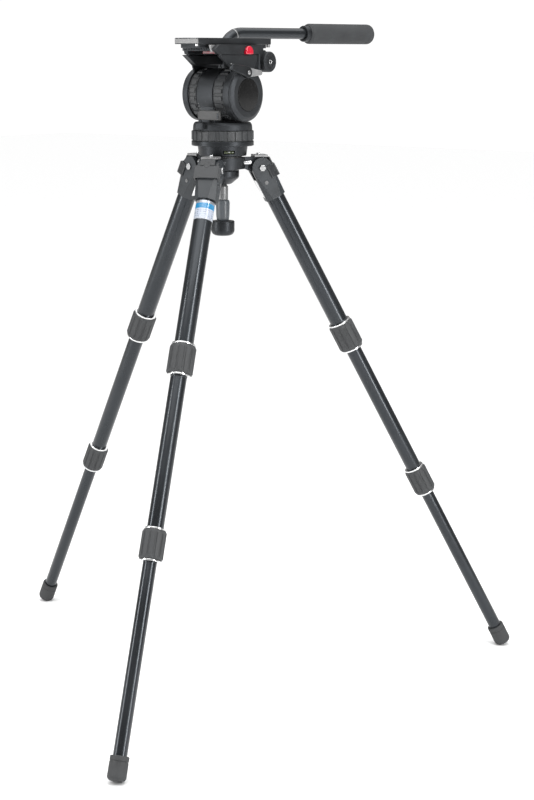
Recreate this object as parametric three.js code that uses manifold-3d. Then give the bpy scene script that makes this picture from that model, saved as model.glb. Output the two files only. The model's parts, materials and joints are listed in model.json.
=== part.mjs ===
// A video tripod with a levelling half ball, a fluid head and a pan bar.
// Millimetres, +Z up. The origin is on the floor under the pan axis, the lens looks along -Y,
// and +X is the operator's left.
import * as THREE from "three";
import { mergeVertices } from "three/addons/utils/BufferGeometryUtils.js";
import Module from "manifold-3d";

const wasm = await Module();
wasm.setup();

// ---------------------------------------------------------------- driving dimensions

const runGap = 0.3; // between pieces that turn or slide on each other
const fitGap = 0.2; // between pieces that are pressed or screwed together
const legSegments = 16; // sides of every round piece of a leg

// The three legs. Stations are distances down the leg from its hinge pin.
const legNames = ["front", "left", "right"];
const headTurn = 21.6; // degrees from the front leg to the way the lens looks
const spreadAngle = 27.9; // degrees between a leg and the vertical
const legLength = 954; // hinge pin to the end of the foot
const shoulderLength = 54;
const shoulderSideWall = 2.3; // between the tube's socket and the shoulder's flat sides
const eyeInset = 0.3; // the eye's radius is this much under half the socket's width
const shoulderFlare = 9.2; // how much wider the eight facets are at the eye
const shoulderTaper = 0.4; // how far the facets clear the socket's wall at the lower end
const tubeStart = 22; // where the upper tube starts inside the shoulder
const sectionWall = 1.6;
const sectionGap = 0.6; // between one tube and the next inside it
const upperTubeRadius = 15;
const upperCollar = { start: 294, length: 46.2, wall: 3.35, flutes: 12 };
const lowerCollar = { start: 584.5, length: 45, wall: 3.45, flutes: 12 };
const collarFluteDepth = 0.9;
const sleeveWall = 1.8; // the threaded sleeve that a collar turns on
const sleeveRing = 3; // length of the sleeve's bright ring above and below a collar
const sleeveStep = 0.8; // how much smaller the ring below a collar is than the one above
const tubeInSleeve = 16; // how far a tube reaches into its sleeve, past the ring
const middleTubeHidden = 37; // middle tube above its collar, inside the upper tube
const lowerTubeHidden = 40;
const footLength = 36.3;
const footWall = 3.8;
const footEdge = 7; // rounding of the foot's sole
const footSocket = 15;
const footChamfer = 1.2;
const pinRadius = 4;
const pinHeadRadius = 5.5;
const pinHeadLength = 3;

// The angle catch on the outer side of a shoulder.
const catchTop = 1; // stations of the catch's two ends
const catchBottom = 22;
const catchWall = 3.4;
const catchWing = 2.2;
const catchReach = 7; // where the wings start, outwards from the hinge pin
const catchTooth = { halfWidth: 12, height: 9.8, thickness: 2.8, root: 3 };

// The hub. Heights are above the hinge pins.
const hubRim = 3.7; // from the ball's bowl to the hub's outside
const hubTop = 17;
const hubBottom = -1;
const hingeReach = 25.8; // from the hub's outside to a hinge pin
const tongueHalf = 8.5; // half the thickness of the ear in a shoulder's fork
const tongueRadius = 12;
const stopPlate = { inwards: 12, toTooth: 0.79, halfWidth: 13, thickness: 3.6 };
const ballRadius = 31.6;
const ballGap = 0.7; // between the ball, the hub's bowl and the cup's seat
const ballHeight = 20; // centre of the levelling ball, and the underside of the pan base
const bowlWall = 3.2;
const bowlHole = 12;
const ballTrim = 0.999; // share of the ball's radius where its flat top starts

// The clamp under the hub.
const cupRadius = 26.5;
const cupBottom = -15;
const cupTip = -26;
const rodRadius = 6;
const rodCollarRadius = 8.6;
const rodCollarEnd = -51;
const gripRadius = 11.4;
const gripEnd = -85;
const pommelRadius = 19;
const pommelEnd = -109;
const rodCore = 5; // the rod inside the grip
const rodCoreReach = 6; // how far it reaches into the pommel
const pommelEdge = 7;

// The pan stack, heights above the hinge pins.
const neckBottomRadius = 38.25;
const neckTopRadius = 40.25;
const neckTop = 36;
const panRadius = 50.1;
const lipTop = 44;
const panRingTop = 60;
const panCoreRadius = 38;
const spindleRadius = 15;
const spindleTop = 69;
const panRibs = 24;
const ribDepth = 1.6;
const baseInset = 2.1; // the base's lower edge inside the drag ring
const baseTaper = 1;
const baseTop = 73.5;
const panLipEdge = 1.5;
const vial = { angle: -35.5, length: 16.5, radius: 2, height: 26.5 };

// The tilt drum. Its axis runs along X.
const tiltRingRadius = 41.5;
const drumInset = 0.5; // the fixed drum's and its band's rims inside the drag rings'
const bandInset = 1.2;
const cheekProud = 1; // a cheek's rim past the drag rings
const cheekAboveBase = 1;
const ringHubRadius = 30;
const axleRadius = 10;
const drumLeft = 12; // the fixed drum's left and right faces
const drumRight = -17;
const bandWidth = 4;
const tiltRingLeft = 34.3;
const counterRingRight = -37.7;
const tiltRibs = 22;
const counterRibs = 20;
const cheekOuter = 46.7;
const capOuter = 53;
const discRadius = 25.5;
const discDepth = 1.5;
const capEdge = 2.5;
const capInset = 0.5; // the cap's rim inside the cheek's
const discProud = 0.4;
const pedestal = { halfLength: 36, belowAxis: 10 };

// The platform over the drum, heights above the tilt axis.
const skirtOuter = 38;
const skirtInner = 30;
const seamHeight = 62; // between the cheeks' arms and the platform's skirts
const platformTop = 78;
const slabThickness = 10;
const grooveHalf = 19.3;
const grooveDepth = 6;
const platformFront = -54;
const platformRear = 58;
const chevronTip = { y: -64.5, belowTop: 7.6 };
const armFoot = { front: -27.6, rear: 44, height: 45 };
const armRoot = { front: -21.6, rear: 26, height: 28 }; // where an arm meets its disc
const armRearSlope = 6;
const armOverlap = 3; // how far a cheek's arm reaches over its disc, along X
const rightSkirtRake = 5;
const rearBlock = { front: 46.3, end: 66, bottom: 36 };
const rosette = { y: 66, height: 51, radius: 16.4, proud: 8 };

// The camera plate.
const plateHalf = 24.5;
const plateFront = -88;
const plateRear = 95;
const plateThickness = 10;
const railInset = { front: 8, rear: 6 }; // the plate's rail inside its two ends
const plateSlot = { front: 12, rear: 62, half: 3.4, ledge: 4.7 };
const screwRadius = 3.1;
const screwHeadRadius = 7.6;
const screwHeadLength = 4;
const screwBelowTop = 0.5;

// Controls.
const button = { y: 18.3, width: 18, aboveSeam: 0.8, height: 13, proud: 4, depth: 6, travel: 3 };
const tiltLever = { y: -7, height: 35, hub: 9, rear: 29, front: -43, thickness: 6, stem: 4 };
const tiltFrontTip = { rise: 8, radius: 5.5 };
const tiltRearTip = { rise: -1, radius: 4 };
const panLever = { x: -4, outwards: 4, stem: 3, left: 37, above: 4.5, height: 15, thickness: 6, corner: 4 };
const plateLever = { y: -12, belowTop: 7, length: 34, stem: 4, thickness: 6, hub: 8, standoff: 4 };
const plateLeverTip = { rise: -2, radius: 4.5 };
const holeDepth = 4; // how far the plate lever's hole goes into the platform past its skirt

// The pan bar and its clamp.
const barRadius = 9.2;
const barAbove = 19; // the bar's level stretch above the platform's top
const barYaw = 12.5; // degrees that the bar turns in towards the operator's middle
const barKnee = 86; // y where the bar's two straight stretches would meet
const barBend = 28; // from that point to the start and the end of the bend
const socketWall = 3;
const clampWall = 2.6; // the clamp's outer face past the bar
const socketStart = 8;
const socketEnd = 22;
const barToGrip = 134; // end of the bend to the grip
const gripLength = 156;
const handGripWall = 7.8;
const gripOverlap = 126; // how far the bar reaches into the grip
const gripCollar = { inset: 3, length: 4 };
const gripEdge = 9;
const knobRadius = 11;
const knobLength = 14;
const knobLobes = { count: 6, depth: 1.2, steps: 36 };

// ---------------------------------------------------------------- derived sizes and places

const degree = Math.PI / 180;
const spread = spreadAngle * degree;
const middleTubeRadius = upperTubeRadius - sectionWall - sectionGap;
const lowerTubeRadius = middleTubeRadius - sectionWall - sectionGap;
const shoulderWidth = 2 * (upperTubeRadius + fitGap + shoulderSideWall);
const shoulderHalf = upperTubeRadius + fitGap + sectionWall; // along the leg's swing
const shoulderEyeRadius = shoulderHalf - eyeInset;
const catchInner = shoulderHalf + 2 * runGap;
const footStart = legLength - footLength;
const footRadius = lowerTubeRadius + fitGap + footWall;
// The sole's rounded edge touches the floor on the side of the pan axis.
const footDrop =
  (footRadius - footEdge) * Math.sin(spread) + footEdge * (1 - Math.cos(spread));
const hingeHeight = legLength * Math.cos(spread) + footDrop;

const bowlRadius = ballRadius + ballGap;
const hubRadius = bowlRadius + hubRim;
const hingeRadius = hubRadius + hingeReach;
const baseBottomRadius = panRadius - baseInset;
const baseTopRadius = baseBottomRadius - baseTaper;
const panLeverY = -baseTopRadius - panLever.outwards;

const cheekRadius = tiltRingRadius + cheekProud;
const tiltHeight = baseTop + cheekAboveBase + cheekRadius;
const bandRight = drumRight - bandWidth;
const slabBottom = platformTop - slabThickness;
const grooveFloor = platformTop - grooveDepth;
const chevronHeight = platformTop - chevronTip.belowTop;
const rosetteFace = skirtOuter + rosette.proud;
const plateTop = platformTop + plateThickness;
const barHeight = platformTop + barAbove;
const socketRadius = barRadius + fitGap + socketWall;
const clampBarX = rosetteFace + socketRadius - fitGap;
const clampOuter = clampBarX + barRadius + clampWall;
const handGripRadius = barRadius + fitGap + handGripWall;

// ---------------------------------------------------------------- geometry helpers

function solidFrom(geometry) {
  const bare = geometry.index ? geometry.toNonIndexed() : geometry.clone();
  bare.deleteAttribute("normal");
  bare.deleteAttribute("uv");
  const merged = mergeVertices(bare, 1e-4);
  const triVerts = new Uint32Array(merged.index.array);
  const vertProperties = merged.attributes.position.array;
  return new wasm.Manifold(new wasm.Mesh({ numProp: 3, vertProperties, triVerts }));
}

function geometryFrom(solid) {
  const mesh = solid.getMesh();
  const geometry = new THREE.BufferGeometry();
  geometry.setAttribute("position", new THREE.BufferAttribute(mesh.vertProperties, 3));
  geometry.setIndex(new THREE.BufferAttribute(mesh.triVerts, 1));
  return geometry;
}

function join(...geometries) {
  return geometryFrom(geometries.map(solidFrom).reduce((whole, next) => whole.add(next)));
}

function cut(geometry, ...tools) {
  const start = solidFrom(geometry);
  return geometryFrom(tools.map(solidFrom).reduce((whole, next) => whole.subtract(next), start));
}

function overlapOf(...geometries) {
  return geometryFrom(
    geometries.map(solidFrom).reduce((whole, next) => whole.intersect(next)),
  );
}

// A profile of [radius, z] pairs carried round the Z axis. It runs up its outer side, and it
// either starts and ends on the axis or closes on itself.
function turned(profile, segments = 32) {
  const open = profile[0][0] === 0;
  const closed = open ? profile : [...profile, profile[0]];
  const points = closed.map(([radius, z]) => new THREE.Vector2(radius, z));
  return new THREE.LatheGeometry(points, segments).rotateX(Math.PI / 2);
}

// The same, round the X axis, with [radius, x] pairs.
function turnedAlongX(profile, segments = 32) {
  return turned(profile, segments).rotateY(Math.PI / 2);
}

function cylinder(radius, bottom, top, segments = 24) {
  return turned([[0, bottom], [radius, bottom], [radius, top], [0, top]], segments);
}

function cylinderAlongX(radius, start, end, segments = 24) {
  return cylinder(radius, start, end, segments).rotateY(Math.PI / 2);
}

function box(xRange, yRange, zRange) {
  const size = [xRange, yRange, zRange].map(([low, high]) => high - low);
  const middle = [xRange, yRange, zRange].map(([low, high]) => (low + high) / 2);
  return new THREE.BoxGeometry(...size).translate(...middle);
}

function shapeOf(points) {
  return new THREE.Shape(points.map(([a, b]) => new THREE.Vector2(a, b)));
}

// An outline in Y and Z, carried along X.
function slabAlongX(outline, start, end) {
  const depth = end - start;
  const geometry = new THREE.ExtrudeGeometry(shapeOf(outline), { depth, bevelEnabled: false });
  const turn = new THREE.Matrix4().set(0, 0, 1, start, 1, 0, 0, 0, 0, 1, 0, 0, 0, 0, 0, 1);
  return geometry.applyMatrix4(turn);
}

// An outline in X and Z, carried along Y and centred on it.
function slabAlongY(outline, halfWidth) {
  const depth = halfWidth * 2;
  const geometry = new THREE.ExtrudeGeometry(shapeOf(outline), { depth, bevelEnabled: false });
  return geometry.translate(0, 0, -halfWidth).rotateX(Math.PI / 2);
}

// Points on a circle from one angle to another, both ends included.
function arc(centreA, centreB, radius, fromDegrees, toDegrees, steps) {
  return Array.from({ length: steps + 1 }, (_, i) => {
    const angle = (fromDegrees + ((toDegrees - fromDegrees) * i) / steps) * degree;
    return [centreA + radius * Math.cos(angle), centreB + radius * Math.sin(angle)];
  });
}

// Points on a sphere's profile about the Z axis, between two radii, below its centre.
function sphereProfile(centre, radius, fromR, toR, steps) {
  const from = Math.asin(fromR / radius);
  const to = Math.asin(toR / radius);
  return Array.from({ length: steps + 1 }, (_, i) => {
    const angle = from + ((to - from) * i) / steps;
    return [radius * Math.sin(angle), centre - radius * Math.cos(angle)];
  });
}

// A ring whose rim carries flat-topped ribs, from z = bottom to z = top.
function ribbedRing(radius, depth, ribs, bore, bottom, top, boreSegments = 32) {
  const steps = [0, 0.08, 0.5, 0.58];
  const radii = [radius - depth, radius, radius, radius - depth];
  const outline = Array.from({ length: ribs * steps.length }, (_, i) => {
    const rib = Math.floor(i / steps.length);
    const step = i % steps.length;
    const angle = ((rib + steps[step]) * 360 * degree) / ribs;
    return [radii[step] * Math.cos(angle), radii[step] * Math.sin(angle)];
  });
  const shape = shapeOf(outline);
  const hole = arc(0, 0, bore, 0, -360, boreSegments).slice(0, -1);
  shape.holes.push(new THREE.Path(hole.map(([a, b]) => new THREE.Vector2(a, b))));
  const depthUp = top - bottom;
  const geometry = new THREE.ExtrudeGeometry(shape, { depth: depthUp, bevelEnabled: false });
  return geometry.translate(0, 0, bottom);
}

// ---------------------------------------------------------------- leg pieces
// Leg frame: the hinge pin lies along Y, +X points away from the pan axis, and -Z runs down the leg.

function shoulder() {
  const eye = arc(0, 0, shoulderEyeRadius, 180, 0, 12);
  const side = [...eye, [shoulderHalf, -shoulderLength], [-shoulderHalf, -shoulderLength]];
  const body = slabAlongY(side.reverse(), shoulderWidth / 2);
  const halfFacet = 22.5 * degree;
  const facets = new THREE.CylinderGeometry(
    (shoulderHalf + shoulderFlare) / Math.cos(halfFacet),
    (shoulderHalf + shoulderTaper) / Math.cos(halfFacet),
    shoulderLength + shoulderEyeRadius,
    8,
    1,
    false,
    halfFacet,
  )
    .rotateX(Math.PI / 2)
    .translate(0, 0, (shoulderEyeRadius - shoulderLength) / 2);
  const forkDepth = tongueRadius + 2;
  const fork = box(
    [-shoulderWidth, shoulderWidth],
    [-tongueHalf - runGap, tongueHalf + runGap],
    [-forkDepth, shoulderEyeRadius + 1],
  );
  const socket = cylinder(
    upperTubeRadius + fitGap,
    -shoulderLength - 1,
    -tubeStart + fitGap,
    legSegments,
  );
  const pinHole = cylinder(pinRadius + fitGap, -shoulderWidth, shoulderWidth, legSegments);
  return cut(overlapOf(body, facets), fork, socket, pinHole.rotateX(Math.PI / 2));
}

function hingePin() {
  const inner = shoulderWidth / 2 + fitGap;
  const outer = inner + pinHeadLength;
  const profile = [
    [0, -outer],
    [pinHeadRadius, -outer],
    [pinHeadRadius, -inner],
    [pinRadius, -inner],
    [pinRadius, inner],
    [pinHeadRadius, inner],
    [pinHeadRadius, outer],
    [0, outer],
  ];
  return turned(profile, 12).rotateX(Math.PI / 2);
}

function angleCatch() {
  const outer = catchInner + catchWall;
  const wingInner = shoulderWidth / 2 + runGap;
  const wingOuter = wingInner + catchWing;
  const block = box([catchReach, outer], [-wingOuter, wingOuter], [-catchBottom, -catchTop]);
  const room = box([catchReach - 1, catchInner], [-wingInner, wingInner], [-catchBottom - 1, 0]);
  const tooth = box(
    [catchInner, catchInner + catchTooth.thickness],
    [-catchTooth.halfWidth, catchTooth.halfWidth],
    [-catchTop - catchTooth.root, catchTooth.height],
  );
  return join(cut(block, room), tooth);
}

function tube(radius, start, end) {
  const bore = radius - sectionWall;
  const profile = [[bore, -end], [radius, -end], [radius, -start], [bore, -start]];
  return turned(profile, legSegments);
}

// The sleeve is fixed to the outer tube's end, guides the inner tube, and holds the collar
// between its two rings.
function lockSleeve(outerTube, innerTube, collar) {
  const top = collar.start - sleeveRing;
  const bottom = collar.start + collar.length + sleeveRing;
  const step = top + sleeveRing + tubeInSleeve + fitGap;
  const seat = outerTube + fitGap;
  const guide = innerTube + runGap;
  const thread = outerTube + fitGap + sleeveWall;
  const ring = thread + (runGap + collar.wall) / 2;
  const profile = [
    [guide, -bottom],
    [ring - sleeveStep, -bottom],
    [ring - sleeveStep, -bottom + sleeveRing - runGap],
    [thread, -bottom + sleeveRing - runGap],
    [thread, -top - sleeveRing + runGap],
    [ring, -top - sleeveRing + runGap],
    [ring, -top],
    [seat, -top],
    [seat, -step],
    [guide, -step],
  ];
  return turned(profile, legSegments);
}

function lockCollar(outerTube, collar) {
  const bore = outerTube + fitGap + sleeveWall + runGap;
  const bottom = -collar.start - collar.length;
  const rim = bore + collar.wall;
  return ribbedRing(rim, collarFluteDepth, collar.flutes, bore, bottom, -collar.start, 24);
}

function foot() {
  const socket = lowerTubeRadius + fitGap;
  const sole = arc(footRadius - footEdge, -legLength + footEdge, footEdge, -90, 0, 3);
  const profile = [
    [0, -legLength],
    ...sole,
    [footRadius, -footStart - footChamfer],
    [footRadius - footChamfer, -footStart],
    [socket, -footStart],
    [socket, -footStart - footSocket - fitGap],
    [0, -footStart - footSocket - fitGap],
  ];
  return turned(profile, legSegments);
}

// ---------------------------------------------------------------- hub and clamp pieces
// Head frame: the pan axis is Z, and z = 0 is the height of the hinge pins.

function hub(legAngles) {
  const shellRadius = bowlRadius + bowlWall;
  const rimRadius = Math.sqrt(bowlRadius ** 2 - (ballHeight - hubTop) ** 2);
  const footRing = Math.sqrt(shellRadius ** 2 - (ballHeight - hubBottom) ** 2);
  const profile = [
    ...sphereProfile(ballHeight, shellRadius, bowlHole, footRing, 3),
    [hubRadius, hubBottom],
    [hubRadius, hubTop],
    ...sphereProfile(ballHeight, bowlRadius, rimRadius, bowlHole, 5),
  ];
  const start = hubRadius - 2;
  const plateBottom = shoulderEyeRadius + 3 * runGap;
  const plateStart = hingeRadius - stopPlate.inwards;
  const toothInner = catchInner * Math.cos(spread) - catchTooth.height * Math.sin(spread);
  const plateEnd = hingeRadius + toothInner - stopPlate.toTooth;
  const ear = [
    [start, hubBottom],
    ...arc(hingeRadius, 0, tongueRadius, -110, 40, 8),
    [plateEnd - 1, plateBottom],
    [plateEnd - 1, plateBottom + 1],
    [plateStart, plateBottom + 1],
    [plateStart - 2, hubTop],
    [start, hubTop],
  ];
  const stop = box(
    [plateStart, plateEnd],
    [-stopPlate.halfWidth, stopPlate.halfWidth],
    [plateBottom, plateBottom + stopPlate.thickness],
  );
  const pinHole = cylinder(pinRadius + runGap, -hubRadius, hubRadius, 16)
    .rotateX(Math.PI / 2)
    .translate(hingeRadius, 0, 0);
  const arm = cut(join(slabAlongY(ear, tongueHalf), stop), pinHole);
  const arms = legAngles.map((angle) => arm.clone().rotateZ(angle * degree));
  return join(turned(profile, 28), ...arms);
}

function halfBall() {
  const seat = rodRadius + fitGap;
  const seatTop = hubBottom;
  const profile = [
    [0, seatTop],
    [seat, seatTop],
    ...sphereProfile(ballHeight, ballRadius, seat, ballRadius * ballTrim, 5),
    [0, ballHeight - fitGap],
  ];
  return turned(profile, 24);
}

function clampCup() {
  const bore = rodRadius + fitGap;
  const seat = bowlRadius + bowlWall + ballGap;
  const profile = [
    [bore, cupTip],
    [cupRadius / 2, cupTip],
    [cupRadius, cupBottom],
    ...sphereProfile(ballHeight, seat, cupRadius, bore, 3),
  ];
  return turned(profile, 24);
}

function tieDownRod() {
  const profile = [
    [0, gripEnd - rodCoreReach],
    [rodCore, gripEnd - rodCoreReach],
    [rodCore, rodCollarEnd],
    [rodCollarRadius, rodCollarEnd],
    [rodCollarRadius, cupTip - runGap],
    [rodRadius, cupTip - runGap],
    [rodRadius, hubBottom - runGap],
    [0, hubBottom - runGap],
  ];
  return turned(profile, 16);
}

function tieDownGrip() {
  const bore = rodCore + runGap;
  const depth = gripEnd - rodCoreReach - 1;
  const profile = [
    [0, pommelEnd],
    ...arc(pommelRadius - pommelEdge, pommelEnd + pommelEdge, pommelEdge, -90, 0, 3),
    [pommelRadius, gripEnd - 2],
    [pommelRadius - 2, gripEnd],
    [gripRadius - 1, gripEnd],
    [gripRadius, rodCollarEnd - 3],
    [gripRadius - 1, rodCollarEnd - runGap],
    [bore, rodCollarEnd - runGap],
    [bore, depth],
    [0, depth],
  ];
  return turned(profile, 20);
}

// ---------------------------------------------------------------- pan pieces

function vialPocket(clearance) {
  const half = vial.length / 2 + clearance;
  const radius = vial.radius + clearance;
  const pocket = cylinder(radius, -half, half, 12).rotateX(Math.PI / 2);
  const reach = neckBottomRadius - vial.radius;
  return pocket.translate(reach, 0, vial.height).rotateZ(vial.angle * degree);
}

function spiritLevel() {
  return vialPocket(0);
}

function panBase() {
  const profile = [
    [0, ballHeight],
    [neckBottomRadius, ballHeight],
    [neckTopRadius, neckTop],
    [panRadius - panLipEdge, neckTop],
    [panRadius, neckTop + panLipEdge],
    [panRadius, lipTop],
    [panCoreRadius, lipTop],
    [panCoreRadius, panRingTop],
    [spindleRadius, panRingTop],
    [spindleRadius, spindleTop],
    [0, spindleTop],
  ];
  const window = box(
    [neckBottomRadius - vial.radius, neckTopRadius + 1],
    [-vial.length / 2 - fitGap, vial.length / 2 + fitGap],
    [vial.height - vial.radius - fitGap, vial.height + vial.radius + fitGap],
  ).rotateZ(vial.angle * degree);
  return cut(turned(profile, 32), vialPocket(fitGap), window);
}

function panDragRing() {
  const bottom = lipTop + runGap;
  return ribbedRing(panRadius, ribDepth, panRibs, panCoreRadius + runGap, bottom, panRingTop);
}

function headBody() {
  const bottom = panRingTop + runGap;
  const bore = spindleRadius + runGap;
  const base = turned(
    [
      [0, spindleTop + runGap],
      [bore, spindleTop + runGap],
      [bore, bottom],
      [baseBottomRadius, bottom],
      [baseTopRadius, baseTop],
      [0, baseTop],
    ],
    36,
  );
  const post = box(
    [drumRight, drumLeft],
    [-pedestal.halfLength, pedestal.halfLength],
    [baseTop - 3, tiltHeight - pedestal.belowAxis],
  );
  const drum = turnedAlongX(
    [
      [axleRadius + runGap, counterRingRight],
      [ringHubRadius, counterRingRight],
      [ringHubRadius, bandRight],
      [tiltRingRadius - bandInset, bandRight],
      [tiltRingRadius - bandInset, drumRight],
      [tiltRingRadius - drumInset, drumRight],
      [tiltRingRadius - drumInset, drumLeft],
      [ringHubRadius, drumLeft],
      [ringHubRadius, tiltRingLeft],
      [axleRadius + runGap, tiltRingLeft],
    ],
    36,
  ).translate(0, 0, tiltHeight);
  const axleRoom = cylinderAlongX(axleRadius + 2 * runGap, drumRight - 1, drumLeft + 1);
  const lugReach = panLever.stem + 4;
  const lug = box(
    [panLever.x - lugReach, panLever.x + lugReach],
    [panLeverY - lugReach + 2, -baseTopRadius + 6],
    [bottom + 2, baseTop],
  );
  const stemHole = cylinder(panLever.stem + runGap, bottom, baseTop + 1, 12);
  return cut(
    join(base, cut(post, axleRoom.translate(0, 0, tiltHeight)), drum, lug),
    stemHole.translate(panLever.x, panLeverY, 0),
  );
}

// Its own frame: the pivot is Z, with heights above the hinge pins.
function panLockLever() {
  const bottom = baseTop + panLever.above;
  const stem = cylinder(panLever.stem, panRingTop + 4, bottom + 2, 12);
  const length = panLever.left - panLever.x;
  const half = panLever.thickness / 2;
  const top = bottom + panLever.height;
  const corner = panLever.corner;
  const paddle = [
    [-half, bottom],
    [length, bottom],
    [length, top],
    ...arc(corner - half, top - corner, corner, 90, 180, 3),
  ];
  return join(slabAlongY(paddle, half), stem);
}

// ---------------------------------------------------------------- tilt pieces
// Tilt frame: the tilt axis is X, and z = 0 is its height.

function tiltAxle() {
  const end = cheekOuter - 1;
  return cylinderAlongX(axleRadius, -end, end);
}

function tiltDragRing() {
  const bore = ringHubRadius + runGap;
  const start = drumLeft + runGap;
  return ribbedRing(tiltRingRadius, ribDepth, tiltRibs, bore, start, tiltRingLeft, 28).rotateY(
    Math.PI / 2,
  );
}

function counterbalanceRing() {
  const bore = ringHubRadius + runGap;
  const end = bandRight - runGap;
  return ribbedRing(
    tiltRingRadius, ribDepth, counterRibs, bore, counterRingRight, end, 28,
  ).rotateY(Math.PI / 2);
}

// The front edge that a cheek's arm shares with the skirt over it: y at a height above the pins.
function chevronLine(height) {
  const slope = (armFoot.front - chevronTip.y) / (chevronHeight - armFoot.height);
  return armFoot.front - slope * (height - armFoot.height);
}

// A cheek is a disc on the axle with an arm that rises to the platform.
// side is +1 for the left cheek and -1 for the right one.
function cheek(side, discInner, discOuter) {
  const discRange = [side * discInner, side * discOuter].sort((a, b) => a - b);
  const disc = cylinderAlongX(cheekRadius, ...discRange, 40);
  const outline = [
    [chevronLine(seamHeight), seamHeight],
    [armFoot.front, armFoot.height],
    [armRoot.front, armRoot.height],
    [armRoot.rear, armRoot.height],
    [armFoot.rear - armRearSlope, armFoot.height],
    [armFoot.rear, seamHeight],
  ];
  const armOuter = Math.max(skirtOuter, discInner + armOverlap);
  const armRange = [side * skirtInner, side * armOuter].sort((a, b) => a - b);
  const arm = slabAlongX(outline, ...armRange);
  const ringRange = [side * (skirtInner - 1), side * discInner].sort((a, b) => a - b);
  const ringRoom = cylinderAlongX(tiltRingRadius + 2 * runGap, ...ringRange, 40);
  const bore = cylinderAlongX(axleRadius + fitGap, -capOuter - 1, capOuter + 1);
  return cut(join(disc, cut(arm, ringRoom)), bore);
}

function leftCap() {
  const inner = cheekOuter + fitGap;
  const rim = cheekRadius - capInset;
  const profile = [
    [0, inner],
    [rim, inner],
    [rim, capOuter - capEdge],
    [rim - capEdge, capOuter],
    [discRadius + fitGap, capOuter],
    [discRadius + fitGap, capOuter - discDepth],
    [0, capOuter - discDepth],
  ];
  const stemHole = cylinderAlongX(tiltLever.stem + runGap, inner - 1, capOuter + 1, 12);
  return cut(turnedAlongX(profile, 40), stemHole.translate(0, tiltLever.y, tiltLever.height));
}

function capDisc() {
  const start = capOuter - discDepth + fitGap;
  return cylinderAlongX(discRadius, start, capOuter + discProud, 32);
}

function tiltLockLever() {
  const start = capOuter + 2 * runGap;
  const [y, z] = [tiltLever.y, tiltLever.height];
  const outline = [
    ...arc(y, z, tiltLever.hub, -60, -140, 3),
    ...arc(tiltLever.front, z + tiltFrontTip.rise, tiltFrontTip.radius, -130, -270, 4),
    ...arc(y, z, tiltLever.hub, 100, 60, 2),
    ...arc(tiltLever.rear - tiltRearTip.radius, z + tiltRearTip.rise, tiltRearTip.radius, 90, -90, 4),
  ].reverse();
  const blade = slabAlongX(outline, start, start + tiltLever.thickness);
  const stem = cylinderAlongX(tiltLever.stem, cheekOuter + 2 * runGap, start + 1, 12);
  return join(blade, stem.translate(0, y, z));
}

function platform() {
  const seam = seamHeight + runGap;
  const leftSkirt = [
    [platformFront, platformTop],
    [chevronTip.y, chevronHeight],
    [chevronLine(seam), seam],
    [rearBlock.front + 1, seam],
    [platformRear, platformTop],
  ];
  const rightSkirt = [
    [platformFront, platformTop],
    [platformFront + rightSkirtRake, seam],
    [rearBlock.front + 1, seam],
    [platformRear, platformTop],
  ];
  const slab = box(
    [-skirtOuter, skirtOuter],
    [platformFront, platformRear],
    [slabBottom, platformTop],
  );
  const block = box(
    [-skirtOuter, skirtOuter],
    [rearBlock.front, rearBlock.end],
    [rearBlock.bottom, slabBottom + 1],
  );
  const bosses = cylinderAlongX(rosette.radius, -rosetteFace, rosetteFace, 28);
  const whole = join(
    slab,
    slabAlongX(leftSkirt, skirtInner, skirtOuter),
    slabAlongX(rightSkirt, -skirtOuter, -skirtInner),
    block,
    bosses.translate(0, rosette.y, rosette.height),
  );
  const groove = box(
    [-grooveHalf, grooveHalf],
    [chevronTip.y - 1, platformRear + 1],
    [grooveFloor, platformTop + 1],
  );
  const pressed = skirtOuter - button.depth - button.travel - runGap;
  const buttonRoom = slabAlongX(buttonOutline(runGap), pressed, skirtOuter + 1);
  const clampHole = cylinderAlongX(screwRadius + fitGap, -rosetteFace - 1, -skirtInner, 12);
  const holeEnd = holeDepth - skirtInner;
  const leverHole = cylinderAlongX(plateLever.stem + runGap, -skirtOuter - 1, holeEnd, 12);
  return cut(
    whole,
    groove,
    buttonRoom,
    clampHole.translate(0, rosette.y, rosette.height),
    leverHole.translate(0, plateLever.y, platformTop - plateLever.belowTop),
  );
}

// The half-round button's outline in Y and Z, grown by a clearance.
function buttonOutline(clearance) {
  const half = button.width / 2 + clearance;
  const bottom = seamHeight + button.aboveSeam;
  const low = bottom - clearance;
  const shoulderHeight = bottom + button.height - button.width / 2;
  return [
    [button.y - half, low],
    [button.y + half, low],
    ...arc(button.y, shoulderHeight, half, 0, 180, 8),
  ];
}

function releaseButton() {
  return slabAlongX(buttonOutline(0), skirtOuter - button.depth, skirtOuter + button.proud);
}

function plateLockLever() {
  const z = platformTop - plateLever.belowTop;
  const start = -skirtOuter - plateLever.standoff;
  const end = start - plateLever.thickness;
  const outline = [
    ...arc(plateLever.y, z, plateLever.hub, -220, -40, 6),
    ...arc(plateLever.y + plateLever.length, z + plateLeverTip.rise, plateLeverTip.radius, -90, 90, 4),
  ];
  const blade = slabAlongX(outline, end, start);
  const stemEnd = holeDepth - skirtInner - 2 * runGap;
  const stem = cylinderAlongX(plateLever.stem, start - 1, stemEnd, 12);
  return join(blade, stem.translate(0, plateLever.y, z));
}

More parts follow.
